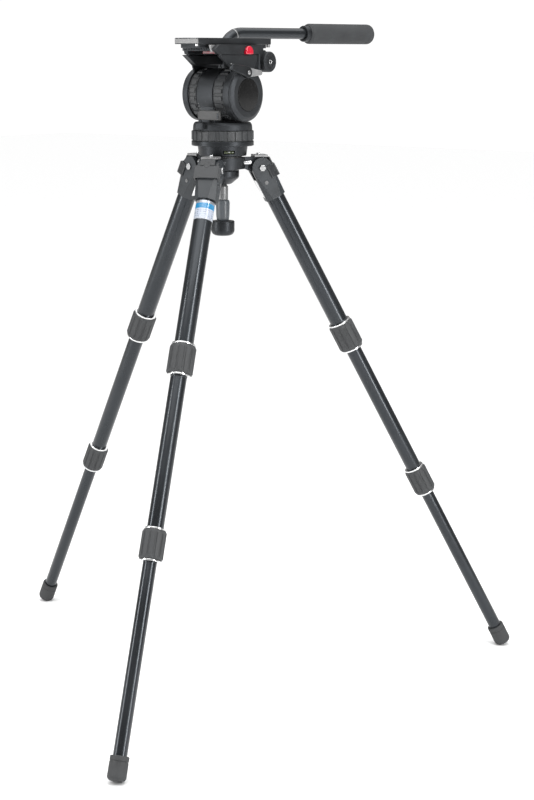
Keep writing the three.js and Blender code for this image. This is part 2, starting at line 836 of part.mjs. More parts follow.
function cameraPlate() {
  const top = box(
    [-plateHalf, plateHalf],
    [plateFront, plateRear],
    [platformTop + runGap, plateTop],
  );
  const rail = box(
    [-grooveHalf + runGap, grooveHalf - runGap],
    [plateFront + railInset.front, plateRear - railInset.rear],
    [grooveFloor + runGap, platformTop + 1],
  );
  const slot = box(
    [-plateSlot.half, plateSlot.half],
    [plateSlot.front, plateSlot.rear],
    [grooveFloor, plateTop + 1],
  );
  const reach = screwHeadRadius - plateSlot.half + runGap;
  const channel = box(
    [-screwHeadRadius - runGap, screwHeadRadius + runGap],
    [plateSlot.front - reach, plateSlot.rear + reach],
    [grooveFloor, plateTop - plateSlot.ledge],
  );
  return cut(join(top, rail), slot, channel);
}

function cameraScrew() {
  const bottom = grooveFloor + 2 * runGap;
  const profile = [
    [0, bottom],
    [screwHeadRadius, bottom],
    [screwHeadRadius, bottom + screwHeadLength],
    [screwRadius, bottom + screwHeadLength],
    [screwRadius, plateTop - screwBelowTop],
    [0, plateTop - screwBelowTop],
  ];
  const middle = (plateSlot.front + plateSlot.rear) / 2;
  return turned(profile, 16).translate(0, middle, 0);
}

// ---------------------------------------------------------------- pan bar pieces
// In the tilt frame too. The bar rises from the clamp on the right rosette, bends, and runs back.

const kneePoint = new THREE.Vector3(-clampBarX, barKnee, barHeight);
const clampPoint = new THREE.Vector3(-clampBarX, rosette.y, rosette.height);
const barRise = kneePoint.clone().sub(clampPoint).normalize();
const barRun = new THREE.Vector3(Math.sin(barYaw * degree), Math.cos(barYaw * degree), 0);
const bendEnd = kneePoint.clone().addScaledVector(barRun, barBend);
const gripStart = bendEnd.clone().addScaledVector(barRun, barToGrip);

function panBar() {
  const start = clampPoint.clone().addScaledVector(barRise, socketStart + fitGap);
  const bendStart = kneePoint.clone().addScaledVector(barRise, -barBend);
  const end = gripStart.clone().addScaledVector(barRun, gripOverlap);
  const path = new THREE.CurvePath();
  path.add(new THREE.LineCurve3(start, bendStart));
  path.add(new THREE.QuadraticBezierCurve3(bendStart, kneePoint, bendEnd));
  path.add(new THREE.LineCurve3(bendEnd, end));
  const section = shapeOf(arc(0, 0, barRadius, 0, 360, 12).slice(0, -1));
  return new THREE.ExtrudeGeometry(section, { steps: 28, bevelEnabled: false, extrudePath: path });
}

function handleClamp() {
  const inner = -rosetteFace - runGap;
  const disc = cylinderAlongX(rosette.radius, -clampOuter, inner, 28);
  const lift = new THREE.Quaternion().setFromUnitVectors(new THREE.Vector3(0, 0, 1), barRise);
  const place = new THREE.Matrix4().compose(clampPoint, lift, new THREE.Vector3(1, 1, 1));
  const socketBody = cylinder(socketRadius, 0, socketEnd).applyMatrix4(place);
  const flat = box([inner, 0], [0, 2 * rosette.y], [0, 2 * barHeight]);
  const bore = cylinder(barRadius + fitGap, socketStart, socketEnd + 1).applyMatrix4(place);
  const boltHole = cylinderAlongX(screwRadius + fitGap, -clampOuter - 1, inner + 1, 12);
  return cut(
    join(disc.translate(0, rosette.y, rosette.height), socketBody),
    flat,
    bore,
    boltHole.translate(0, rosette.y, rosette.height),
  );
}

function clampKnob() {
  const start = -Math.max(clampOuter, clampBarX + socketRadius) - runGap;
  const stem = cylinderAlongX(screwRadius, start - 1, -skirtOuter - 2, 12);
  const lobes = Array.from({ length: knobLobes.steps }, (_, i) => {
    const angle = (i * 360 * degree) / knobLobes.steps;
    const radius = knobRadius + knobLobes.depth * Math.cos(knobLobes.count * angle);
    return [radius * Math.cos(angle), radius * Math.sin(angle)];
  });
  const head = slabAlongX(lobes, start - knobLength, start);
  return join(head, stem).translate(0, rosette.y, rosette.height);
}

function handGrip() {
  const bore = barRadius + fitGap;
  const depth = gripOverlap + 1;
  const profile = [
    [bore, 0],
    [handGripRadius - gripCollar.inset, 0],
    [handGripRadius, gripCollar.length],
    ...arc(handGripRadius - gripEdge, gripLength - gripEdge, gripEdge, 0, 90, 4),
    [0, gripLength],
    [0, depth],
    [bore, depth],
  ];
  const along = new THREE.Quaternion().setFromUnitVectors(new THREE.Vector3(0, 0, 1), barRun);
  const place = new THREE.Matrix4().compose(gripStart, along, new THREE.Vector3(1, 1, 1));
  return turned(profile, 20).applyMatrix4(place);
}

// ---------------------------------------------------------------- assembly

const finishes = {
  blackTube: { color: 0x15171a, roughness: 0.25, metalness: 0.8 },
  blackCast: { color: 0x2a2d30, roughness: 0.55, metalness: 0.2 },
  greyRubber: { color: 0x4a4e50, roughness: 0.85, metalness: 0 },
  bluePlastic: { color: 0x4d5a63, roughness: 0.6, metalness: 0 },
  brightSteel: { color: 0xc9c9c6, roughness: 0.3, metalness: 1 },
  greyMetal: { color: 0x8e9399, roughness: 0.4, metalness: 0.8 },
  glossBlack: { color: 0x08080a, roughness: 0.1, metalness: 0 },
  redPlastic: { color: 0xc8102e, roughness: 0.35, metalness: 0 },
  levelGlass: { color: 0xb7d9a0, roughness: 0.1, metalness: 0 },
};

// One named piece in a group, in the finish that finishes lists.
function add(parent, name, geometry, finish) {
  const mesh = new THREE.Mesh(geometry, new THREE.MeshStandardMaterial(finishes[finish]));
  mesh.name = name;
  parent.add(mesh);
}

const tripod = new THREE.Group();
const head = new THREE.Group();
head.position.set(0, 0, hingeHeight);
tripod.add(head);
const tilting = new THREE.Group();
tilting.position.set(0, 0, tiltHeight);
head.add(tilting);

const legAngles = legNames.map((_, i) => headTurn - 90 + i * 120);

legNames.forEach((name, i) => {
  const swing = new THREE.Group();
  swing.rotation.z = legAngles[i] * degree;
  head.add(swing);
  const leg = new THREE.Group();
  leg.position.set(hingeRadius, 0, 0);
  leg.rotation.y = -spread;
  swing.add(leg);
  const upperEnd = upperCollar.start + tubeInSleeve;
  const middleStart = upperCollar.start - middleTubeHidden;
  const middleEnd = lowerCollar.start + tubeInSleeve;
  const lowerStart = lowerCollar.start - lowerTubeHidden;
  const lowerEnd = footStart + footSocket;
  const upperSleeve = lockSleeve(upperTubeRadius, middleTubeRadius, upperCollar);
  const lowerSleeve = lockSleeve(middleTubeRadius, lowerTubeRadius, lowerCollar);
  add(leg, `${name}_shoulder`, shoulder(), "bluePlastic");
  add(leg, `${name}_hinge_pin`, hingePin(), "brightSteel");
  add(leg, `${name}_angle_catch`, angleCatch(), "bluePlastic");
  add(leg, `${name}_upper_tube`, tube(upperTubeRadius, tubeStart, upperEnd), "blackTube");
  add(leg, `${name}_upper_sleeve`, upperSleeve, "brightSteel");
  add(leg, `${name}_upper_collar`, lockCollar(upperTubeRadius, upperCollar), "greyRubber");
  add(leg, `${name}_middle_tube`, tube(middleTubeRadius, middleStart, middleEnd), "blackTube");
  add(leg, `${name}_lower_sleeve`, lowerSleeve, "brightSteel");
  add(leg, `${name}_lower_collar`, lockCollar(middleTubeRadius, lowerCollar), "greyRubber");
  add(leg, `${name}_lower_tube`, tube(lowerTubeRadius, lowerStart, lowerEnd), "blackTube");
  add(leg, `${name}_foot`, foot(), "greyRubber");
});

add(head, "hub", hub(legAngles), "blackCast");
add(head, "half_ball", halfBall(), "greyMetal");
add(head, "clamp_cup", clampCup(), "blackCast");
add(head, "tie_down_rod", tieDownRod(), "brightSteel");
add(head, "tie_down_grip", tieDownGrip(), "greyRubber");
add(head, "pan_base", panBase(), "blackCast");
add(head, "spirit_level", spiritLevel(), "levelGlass");
add(head, "pan_drag_ring", panDragRing(), "greyRubber");
add(head, "head_body", headBody(), "blackCast");

const panLeverGroup = new THREE.Group();
panLeverGroup.position.set(panLever.x, panLeverY, 0);
head.add(panLeverGroup);
add(panLeverGroup, "pan_lock_lever", panLockLever(), "greyMetal");

add(tilting, "tilt_axle", tiltAxle(), "brightSteel");
add(tilting, "tilt_drag_ring", tiltDragRing(), "greyRubber");
add(tilting, "counterbalance_ring", counterbalanceRing(), "greyRubber");
add(tilting, "left_cheek", cheek(1, tiltRingLeft + 2 * runGap, cheekOuter), "blackCast");
add(tilting, "right_cheek", cheek(-1, -counterRingRight + 2 * runGap, capOuter), "blackCast");
add(tilting, "left_cap", leftCap(), "blackCast");
add(tilting, "cap_disc", capDisc(), "glossBlack");
add(tilting, "tilt_lock_lever", tiltLockLever(), "greyMetal");
add(tilting, "platform", platform(), "blackCast");
add(tilting, "release_button", releaseButton(), "redPlastic");
add(tilting, "plate_lock_lever", plateLockLever(), "greyMetal");
add(tilting, "camera_plate", cameraPlate(), "blackCast");
add(tilting, "camera_screw", cameraScrew(), "brightSteel");
add(tilting, "handle_clamp", handleClamp(), "blackCast");
add(tilting, "clamp_knob", clampKnob(), "blackCast");
add(tilting, "pan_bar", panBar(), "blackTube");
add(tilting, "hand_grip", handGrip(), "greyRubber");

export default tripod;
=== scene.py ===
import json
import math

import bmesh
import bpy
import numpy as np
from mathutils import Matrix, Vector


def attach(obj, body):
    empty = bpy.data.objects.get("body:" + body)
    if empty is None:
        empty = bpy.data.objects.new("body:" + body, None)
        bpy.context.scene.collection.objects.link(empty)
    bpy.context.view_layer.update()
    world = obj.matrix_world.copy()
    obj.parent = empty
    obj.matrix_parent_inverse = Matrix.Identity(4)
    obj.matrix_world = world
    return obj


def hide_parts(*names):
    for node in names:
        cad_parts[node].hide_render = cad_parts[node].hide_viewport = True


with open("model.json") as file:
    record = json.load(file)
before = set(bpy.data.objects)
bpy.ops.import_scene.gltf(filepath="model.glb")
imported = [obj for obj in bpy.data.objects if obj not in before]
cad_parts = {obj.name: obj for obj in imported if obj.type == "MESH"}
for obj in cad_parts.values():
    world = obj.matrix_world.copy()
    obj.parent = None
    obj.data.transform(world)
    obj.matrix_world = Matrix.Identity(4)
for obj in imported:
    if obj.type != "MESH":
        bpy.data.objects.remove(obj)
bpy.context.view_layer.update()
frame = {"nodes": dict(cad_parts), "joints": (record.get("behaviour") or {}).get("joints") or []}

print("frame loaded")

mm = 0.001


# ---- camera

view = {"place": (1.7936, -2.1839, 1.0339), "turn": (78.62, -0.144, 37.956), "lens": 78.215, "sensor": 36}
camera = bpy.data.objects.new("camera", bpy.data.cameras.new("camera"))
camera.location = view["place"]
camera.rotation_euler = [math.radians(degrees) for degrees in view["turn"]]
camera.data.lens = view["lens"]
camera.data.sensor_width = view["sensor"]
bpy.context.scene.collection.objects.link(camera)
bpy.context.scene.camera = camera

joints = {joint["name"]: joint for joint in frame["joints"]}
legNames = ["front", "left", "right"]


# ---- places: an origin in metres and three axes as columns, which carry millimetres into the model's frame

def placeAt(origin, axes=np.eye(3)):
    return np.array(origin, float), np.array(axes, float)


def legPlace(name):
    # from the hinge pin: outwards, along the pin, and up the leg
    fold = joints[name + "_leg_fold"]
    side = np.array(fold["axis"])
    upwards = np.array(joints[name + "_middle_slide"]["axis"])
    return placeAt(fold["pos_m"], np.column_stack([np.cross(side, upwards), side, upwards]))


def shifted(place, offset):
    # the same axes from an origin moved by an offset in millimetres
    origin, axes = place
    return origin + axes @ (np.array(offset) * mm), axes


def turnedAbout(place, axis, degrees):
    # the same origin with its axes turned
    origin, axes = place
    turn = np.array(Matrix.Rotation(math.radians(degrees), 3, Vector(axis)))
    return origin, axes @ turn


def span(node, place, axis=2):
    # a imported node's lowest and highest reach along one of a place's axes, in millimetres
    mesh = frame["nodes"][node].data
    points = np.empty(len(mesh.vertices) * 3)
    mesh.vertices.foreach_get("co", points)
    along = (points.reshape(-1, 3) - place[0]) @ place[1][:, axis] / mm
    return along.min(), along.max()


# heights in the head's place are from 13 mm under the pan base; those in the pins' place from the leg hinges
pinPlace = placeAt((0, 0, joints["front_leg_fold"]["pos_m"][2]))
headPlace = placeAt((0, 0, joints["level"]["pos_m"][2] - 13 * mm))
tiltPlace = placeAt(joints["tilt"]["pos_m"])
tiltPlace[0][0] = 0
acrossAxes = np.column_stack([(0, 1, 0), (0, 0, 1), (1, 0, 0)])   # a piece's third axis along the model's X
tiltAcross = (tiltPlace[0], acrossAxes)
tiltLengthwise = (tiltPlace[0], np.column_stack([(1, 0, 0), (0, 0, 1), (0, -1, 0)]))
hingeReach = math.hypot(*joints["front_leg_fold"]["pos_m"][:2]) / mm


# ---- shapes

def softened(points, reach, closed=True, steps=4):
    # every corner gives way to a parabola that starts and ends `reach` from it
    corner = np.array(points, float)

    def towards(other):
        gap = other - corner
        length = np.linalg.norm(gap, axis=1, keepdims=True)
        return corner + gap * np.minimum(reach / np.maximum(length, 1e-9), 0.45)

    start, end = towards(np.roll(corner, 1, 0)), towards(np.roll(corner, -1, 0))
    t = np.linspace(0, 1, steps + 1)[None, :, None]
    curve = (1 - t) ** 2 * start[:, None] + 2 * t * (1 - t) * corner[:, None] + t * t * end[:, None]
    if closed:
        return curve.reshape(-1, 2)
    return np.vstack([corner[:1], curve[1:-1].reshape(-1, 2), corner[-1:]])


def arc(centre, radius, fromDegrees, toDegrees, steps=10):
    # points at equal angles on a circle: centre + radius (cos a, sin a)
    angle = np.radians(np.linspace(fromDegrees, toDegrees, steps + 1))
    return np.column_stack([centre[0] + radius * np.cos(angle), centre[1] + radius * np.sin(angle)])


def smoothStep(value, low, high):
    # 0 to 1 between low and high: three t squared less two t cubed
    t = np.clip((value - low) / (high - low), 0, 1)
    return t * t * (3 - 2 * t)


def objectFrom(name, points, faces, uv=None, sharpDegrees=32):
    # points that meet, as at a seam or a pole, are joined, and edges sharper than the angle stay sharp
    mesh = bpy.data.meshes.new(name)
    mesh.from_pydata(points.tolist(), [], faces)
    if uv is not None:
        layer = mesh.uv_layers.new(name="surface")
        layer.data.foreach_set("uv", uv.astype(np.float32).ravel())
    work = bmesh.new()
    work.from_mesh(mesh)
    bmesh.ops.remove_doubles(work, verts=work.verts, dist=1e-6)
    bmesh.ops.dissolve_degenerate(work, edges=work.edges, dist=1e-7)
    work.to_mesh(mesh)
    work.free()
    mesh.polygons.foreach_set("use_smooth", np.ones(len(mesh.polygons), bool))
    mesh.set_sharp_from_angle(angle=math.radians(sharpDegrees))
    piece = bpy.data.objects.new(name, mesh)
    bpy.context.scene.collection.objects.link(piece)
    return piece


def climb(radius, low, high, count):
    # profile points straight up at one radius
    return np.column_stack([np.full(count, radius), np.linspace(low, high, count)])


def wallOutline(inner, outer, low, high):
    # the profile of a plain ring: a rectangle between two radii and two heights
    return [(inner, low), (outer, low), (outer, high), (inner, high)]


def carry(place, points):
    # place origin + axes times the point
    origin, axes = place
    return origin + (points * mm) @ axes.T


def gridObject(name, points, size, around, along, sharpDegrees=32):
    # quads between the rows and columns of a grid, with metres around and along as its surface map
    rows, columns = size
    row, column = np.meshgrid(np.arange(rows - 1), np.arange(columns - 1), indexing="ij")
    corners = [(0, 0), (0, 1), (1, 1), (1, 0)]
    faces = np.stack([(row + r) * columns + column + c for r, c in corners], axis=2).reshape(-1, 4)
    uv = np.stack([np.stack([around[column + c], along[row + r]], axis=2) for r, c in corners], axis=2)
    return objectFrom(name, points, faces.tolist(), uv.reshape(-1, 2), sharpDegrees)


def turned(name, profile, place, sides=64, ripple=None, sharpDegrees=32):
    # a profile of (radius, height) goes round the place's third axis:
    # x = r cos a, y = r sin a, z = height, where r = radius - ripple(a, radius, height).
    # It runs up its outer side, and starts and ends on the axis or closes on itself.
    profile = np.array(profile, float)
    if profile[0, 0] > 1e-6:
        profile = np.vstack([profile, profile[:1]])
    angle = np.linspace(0, 2 * np.pi, sides + 1)[None, :]
    radius, height = profile[:, :1], profile[:, 1:]
    real = radius - (ripple(angle, radius, height) if ripple else 0)
    grid = np.stack([real * np.cos(angle), real * np.sin(angle), height + 0 * angle], axis=2)
    around = angle[0] * profile[:, 0].max() * mm
    along = np.concatenate([[0], np.cumsum(np.linalg.norm(np.diff(profile, axis=0), axis=1))]) * mm
    points = carry(place, grid.reshape(-1, 3))
    return gridObject(name, points, grid.shape[:2], around, along, sharpDegrees)


def stud(name, radius, low, high, place, sides=32, soft=0):
    # a turned pin whose corners are softened
    outline = wallOutline(0, radius, low, high)
    return turned(name, softened(outline, soft, False) if soft else outline, place, sides)


def slab(name, outline, low, high, place, bevel=0.8, segments=3):
    # an outline of (x, y), counter-clockwise, carried along the place's third axis from low to high
    outline = np.array(outline, float)
    count = len(outline)
    ends = [np.column_stack([outline, np.full(count, level)]) for level in (low, high)]
    ring = np.arange(count)
    after = (ring + 1) % count
    sides = np.column_stack([ring, after, after + count, ring + count]).tolist()
    faces = sides + [ring[::-1].tolist(), (ring + count).tolist()]
    piece = objectFrom(name, carry(place, np.vstack(ends)), faces, sharpDegrees=40)
    return edged(piece, bevel, segments)


def edged(piece, width, segments=3, degrees=38):
    # rounds the edges that are sharper than the angle
    if width:
        bevel = piece.modifiers.new("edges", "BEVEL")
        bevel.width = width * mm
        bevel.segments = segments
        bevel.limit_method = "ANGLE"
        bevel.angle_limit = math.radians(degrees)
        bevel.harden_normals = False
        bevel.miter_outer = "MITER_ARC"
    return piece


def block(name, low, high, place, bevel=0.6):
    # a box between two corners, as a slab
    (x0, y0, z0), (x1, y1, z1) = low, high
    return slab(name, [(x0, y0), (x1, y0), (x1, y1), (x0, y1)], z0, z1, place, bevel)


def swept(name, path, radius, place, sides=32):
    # a circle carried along a path: centre + radius (cos a n + sin a b), with n level and b square to both;
    # radius may change along the path
    path = np.array(path, float)
    tangent = np.gradient(path, axis=0)
    tangent /= np.linalg.norm(tangent, axis=1, keepdims=True)
    level = np.cross(tangent, (0, 0, 1.0))
    level /= np.linalg.norm(level, axis=1, keepdims=True)
    binormal = np.cross(tangent, level)
    angle = np.linspace(0, 2 * np.pi, sides + 1)[None, :, None]
    radius = np.broadcast_to(np.array(radius, float).reshape(-1, 1, 1), (len(path), 1, 1))
    spokes = np.cos(angle) * level[:, None] + np.sin(angle) * binormal[:, None]
    rings = np.concatenate([path[:1, None] + 0 * spokes[:1], path[:, None] + radius * spokes,
                            path[-1:, None] + 0 * spokes[-1:]])
    along = np.concatenate([[0], np.cumsum(np.linalg.norm(np.diff(rings[:, 0], axis=0), axis=1))]) * mm
    around = angle[0, :, 0] * radius.max() * mm
    return gridObject(name, carry(place, rings.reshape(-1, 3)), rings.shape[:2], around, along)


def cadCopy(name, node, bevel=0.5):
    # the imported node's own shape with its flat faces made whole and its edges softened
    mesh = frame["nodes"][node].data.copy()
    mesh.name = name
    mesh.materials.clear()
    work = bmesh.new()
    work.from_mesh(mesh)
    bmesh.ops.remove_doubles(work, verts=work.verts, dist=1e-5)
    bmesh.ops.dissolve_limit(work, angle_limit=math.radians(2), verts=work.verts, edges=work.edges)
    work.to_mesh(mesh)
    work.free()
    mesh.polygons.foreach_set("use_smooth", np.ones(len(mesh.polygons), bool))
    mesh.set_sharp_from_angle(angle=math.radians(32))
    piece = bpy.data.objects.new(name, mesh)
    bpy.context.scene.collection.objects.link(piece)
    return edged(piece, bevel, 2, 32)


def fit(piece, material, slotName, body, *nodes):
    # gives a finished piece its material, its body and the CAD nodes that it stands for
    piece.data.materials.append(material)
    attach(piece, body)
    if nodes:
        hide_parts(*nodes)
    return piece


# ---- materials

class Wire:
    # an output socket that sums can be written with
    def __init__(self, net, socket):
        self.net, self.socket = net, socket

    def sum(self, operation, *values):
        return self.net.add("ShaderNodeMath", {"operation": operation}, dict(enumerate(values)))

    def __add__(self, other):
        return self.sum("ADD", self, other)

    def __mul__(self, other):
        return self.sum("MULTIPLY", self, other)

    def __gt__(self, other):
        return self.sum("GREATER_THAN", self, other)

    __radd__ = __add__
    __rmul__ = __mul__


class Net:
    # a material with one Principled shader
    def __init__(self, name, **constants):
        self.material = bpy.data.materials.new(name)
        self.material.use_nodes = True
        self.tree = self.material.node_tree
        self.shader = self.tree.nodes["Principled BSDF"]
        self.feed(self.shader, constants)
        coordinates = self.tree.nodes.new("ShaderNodeTexCoord")
        self.place = Wire(self, coordinates.outputs["Object"])
        self.surface = Wire(self, coordinates.outputs["UV"])

    def feed(self, node, values):
        for key, value in values.items():
            socket = node.inputs[key.replace("_", " ") if isinstance(key, str) else key]
            if isinstance(value, Wire):
                self.tree.links.new(value.socket, socket)
            else:
                socket.default_value = value

    # any node: its settings first, then the values or links of its sockets
    def add(self, kind, settings=None, values=None, output=0):
        node = self.tree.nodes.new(kind)
        for key, value in (settings or {}).items():
            setattr(node, key, value)
        self.feed(node, values or {})
        return Wire(self, node.outputs[output])

    def noise(self, scale, detail=3, roughness=0.5, vector=None):
        values = {"Vector": vector or self.place, "Scale": scale, "Detail": detail, "Roughness": roughness}
        return self.add("ShaderNodeTexNoise", None, values)

    def stretched(self, factors):
        # the piece's own surface map, scaled differently around and along it
        return self.add("ShaderNodeMapping", None, {"Vector": self.surface, "Scale": factors})

    def ranged(self, wire, low, high, toLow=0.0, toHigh=1.0):
        values = {"Value": wire, "From Min": low, "From Max": high, "To Min": toLow, "To Max": toHigh}
        return self.add("ShaderNodeMapRange", {"clamp": True}, values)

    def mix(self, factor, first, second):
        values = {0: factor, 6: first, 7: second}
        return self.add("ShaderNodeMix", {"data_type": "RGBA"}, values, 2)

    def bump(self, height, strength, distance):
        values = {"Height": height, "Strength": strength, "Distance": distance}
        return self.add("ShaderNodeBump", None, values)

    def finish(self, **values):
        self.feed(self.shader, values)
        return self.material


def grey(value, blue=1.0):
    return (value, value * (1 + (blue - 1) * 0.5), value * blue, 1)


def enamelOnTube():
    net = Net("enamelOnTube", Specular_IOR_Level=0.42, Specular_Tint=(0.82, 0.9, 1, 1), Coat_Weight=0.22,
              Coat_Roughness=0.08)
    peel = net.noise(420, 2)
    cloud = net.noise(9, 4)
    drawn = net.noise(1, 3, 0.6, net.stretched((900, 14, 1)))
    dust = net.noise(700, 2) > 0.73
    base = net.mix(net.ranged(cloud, 0.35, 0.7), grey(0.0065, 1.25), grey(0.012, 1.2))
    base = net.mix(dust * 0.06, base, grey(0.25))
    rough = net.ranged(cloud, 0.3, 0.7, 0.2, 0.3) + drawn * 0.06 + dust * 0.2
    return net.finish(Base_Color=base, Roughness=rough, Normal=net.bump(peel, 0.06, 0.0004))


def satinCast(name="satinCast", dark=0.009, light=0.016, rough=0.4, grain=0.22):
    net = Net(name, Specular_IOR_Level=0.38, Specular_Tint=(0.86, 0.92, 1, 1))
    powder = net.noise(1500, 3, 0.6)
    cloud = net.noise(28, 4)
    worn = net.ranged(net.noise(130, 5, 0.75), 0.62, 0.74) * 0.3
    base = net.mix(net.ranged(cloud, 0.3, 0.7), grey(dark, 1.12), grey(light, 1.14))
    base = net.mix(net.ranged(powder, 0.55, 0.8) * 0.25, base, grey(light * 2.2, 1.1))
    base = net.mix(worn, base, grey(0.12))
    ruled = net.ranged(cloud, 0.3, 0.7, rough - 0.06, rough + 0.08) + powder * 0.08
    return net.finish(Base_Color=base, Roughness=ruled, Normal=net.bump(powder, grain, 0.0003))


def moulded(name, dark, light, blue, rough, grain, scale=1100, Specular_IOR_Level=0.45):
    net = Net(name, Specular_IOR_Level=Specular_IOR_Level)
    texture = net.noise(scale, 4, 0.65)
    cloud = net.noise(36, 4)
    scuff = net.ranged(net.noise(90, 5, 0.7), 0.6, 0.75) * 0.3
    base = net.mix(net.ranged(cloud, 0.3, 0.7), grey(dark, blue), grey(light, blue))
    base = net.mix(net.ranged(texture, 0.5, 0.85) * 0.45, base, grey(light * 1.9, blue))
    base = net.mix(scuff, base, grey(light * 1.5, blue))
    ruled = net.ranged(cloud, 0.3, 0.7, rough - 0.07, rough + 0.07) + scuff * 0.2
    return net.finish(Base_Color=base, Roughness=ruled, Normal=net.bump(texture, grain, 0.0005))


def metal(name, shade, rough, brush, metallic=1.0):
    net = Net(name, Metallic=metallic)
    brushed = net.add("ShaderNodeMapping", None, {"Vector": net.place, "Scale": (70, 70, 3400)})
    lines = net.noise(1, 2, 0.6, brushed)
    cloud = net.noise(60, 3)
    base = net.mix(net.ranged(cloud, 0.3, 0.7), grey(shade, 1.0), grey(shade * 0.82, 1.02))
    ruled = net.ranged(lines, 0.3, 0.7, rough - 0.05, rough + 0.1) + net.ranged(cloud, 0.5, 0.8) * 0.06
    return net.finish(Base_Color=base, Roughness=ruled, Normal=net.bump(lines, brush, 0.0002))


def glossy(name, first, second, rough, level=0.6, coat=0.5):
    net = Net(name, Specular_IOR_Level=level, Coat_Weight=coat, Coat_Roughness=0.04)
    cloud = net.noise(45, 4)
    fine = net.noise(500, 2)
    base = net.mix(net.ranged(cloud, 0.3, 0.7), first, second)
    hazed = net.ranged(net.noise(160, 5, 0.7), 0.45, 0.75, rough, rough + 0.12)
    return net.finish(Base_Color=base, Roughness=hazed, Normal=net.bump(fine, 0.03, 0.0003))


def vialFluid():
    net = Net("vialFluid", Roughness=0.06, Transmission_Weight=0.25, IOR=1.45)
    swirl = net.noise(220, 2)
    base = net.mix(net.ranged(swirl, 0.35, 0.65), (0.06, 0.07, 0.04, 1), (0.1, 0.12, 0.06, 1))
    return net.finish(Base_Color=base)


label = {"top": 57, "length": 31, "inner": 14.98, "proud": 0.15, "edge": 0.15}


def printedLabel():
    # bands along the tube: a silver border, a blue band, and pale rows of plain bars with no letters
    net = Net("printedLabel", Specular_IOR_Level=0.6, Coat_Weight=0.4, Coat_Roughness=0.1)
    along = net.add("ShaderNodeSeparateXYZ", None, {0: net.surface}, 1)
    height = net.ranged(along, label["edge"] * mm, (label["edge"] + label["length"]) * mm)
    silver, white, blue = (0.36, 0.38, 0.42, 1), (0.38, 0.42, 0.5, 1), (0.0, 0.17, 0.36, 1)
    bands = net.mix(height > 0.1, silver, white)
    bands = net.mix(height > 0.58, bands, blue)
    bands = net.mix(height > 0.86, bands, silver)
    bars = net.noise(1, 1, 0.5, net.stretched((900, 60, 1))) > 0.55
    rows = net.add("ShaderNodeMath", {"operation": "PINGPONG"}, {0: along * 1000, 1: 1.7}) > 1.0
    lower = net.ranged(height, 0.1, 0.12) * net.ranged(height, 0.56, 0.54)
    base = net.mix(bars * rows * lower * 0.85, bands, grey(0.03, 1.3))
    base = net.mix(net.ranged(net.noise(60), 0.4, 0.8) * 0.25, base, silver)
    foil = net.ranged(net.noise(240, 3), 0.3, 0.7, 0.18, 0.34)
    return net.finish(Base_Color=base, Roughness=foil, Metallic=net.ranged(height, 0.86, 0.88) * 0.6)


def paper():
    net = Net("paper", Specular_IOR_Level=0.2)
    fibre = net.noise(40, 4)
    base = net.mix(net.ranged(fibre, 0.3, 0.7), (0.86, 0.86, 0.86, 1), (0.89, 0.89, 0.89, 1))
    return net.finish(Base_Color=base, Roughness=net.ranged(fibre, 0.3, 0.7, 0.75, 0.85))


enamel = enamelOnTube()
cast = satinCast()
castDark = satinCast("castDark", 0.005, 0.009, 0.32, 0.12)
ringRubber = moulded("ringRubber", 0.022, 0.034, 1.14, 0.5, 0.25)
collarRubber = moulded("collarRubber", 0.026, 0.04, 1.1, 0.6, 0.35, 900)
footRubber = moulded("footRubber", 0.024, 0.038, 1.08, 0.66, 0.4, 800)
gripFoam = moulded("gripFoam", 0.022, 0.038, 1.12, 0.8, 0.9, 1300)
shoulderPlastic = moulded("shoulderPlastic", 0.018, 0.028, 1.3, 0.42, 0.15)
catchPlastic = moulded("catchPlastic", 0.026, 0.04, 1.12, 0.46, 0.2)
gripPlastic = moulded("gripPlastic", 0.055, 0.085, 1.22, 0.34, 0.12)
steel = metal("steel", 0.82, 0.18, 0.08)
satinMetal = metal("satinMetal", 0.17, 0.36, 0.12, 0.6)
paleMetal = metal("paleMetal", 0.3, 0.36, 0.1, 0.5)
darkMetal = metal("darkMetal", 0.045, 0.38, 0.1, 0.4)
gloss = glossy("gloss", grey(0.004), grey(0.007), 0.2, 0.3, 0.08)
red = glossy("red", (0.62, 0.008, 0.035, 1), (0.5, 0.005, 0.025, 1), 0.14)
redDark = glossy("redDark", (0.16, 0.002, 0.01, 1), (0.1, 0.002, 0.008, 1), 0.3)
fluid = vialFluid()
print("materials made")


def castPart(piece, body, *nodes):
    return fit(piece, cast, "black_cast", body, *nodes)


# ---- legs: stations run down the leg from its hinge pin, so heights in a leg's place are negative

tubes = {"upper": 15, "middle": 12.8, "lower": 10.6, "wall": 1.6}
sections = {"upper": "leg", "middle": "middle_section", "lower": "lower_section"}
locks = {
    "upper": {"bore": 17.3, "rim": 20.65, "ring": 18.83, "guide": 13.1, "seat": 15.2},
    "lower": {"bore": 15.1, "rim": 18.55, "ring": 16.68, "guide": 10.9, "seat": 13},
}
collar = {"panels": 12, "depth": 1.15, "share": 0.62, "slope": 0.14, "corner": 2.2, "cornerRise": 3.4,
          "edge": 1.3, "shoulder": 0.6, "levels": 27}
sleeve = {"ringLength": 3, "ringStep": 0.8, "gap": 0.3, "soft": 0.6}


def collarRipple(lock, bottom, top):
    # panels stand proud between grooves: depth times one less the share of a panel at this angle and height,
    # and the square of the angle from a panel's middle rounds its ends
    def ripple(angle, radius, height):
        phase = np.abs((angle * collar["panels"] / (2 * np.pi)) % 1 - 0.5) * 2
        across = 1 - smoothStep(phase, collar["share"], collar["share"] + collar["slope"])
        fromEnd = np.minimum(height - bottom, top - height)
        start = collar["corner"] + collar["cornerRise"] * phase ** 2
        along = smoothStep(fromEnd, start - 0.5, start + 0.5)
        outside = radius > lock["rim"] - collar["edge"] - 0.05
        return outside * collar["depth"] * (1 - across * along)
    return ripple


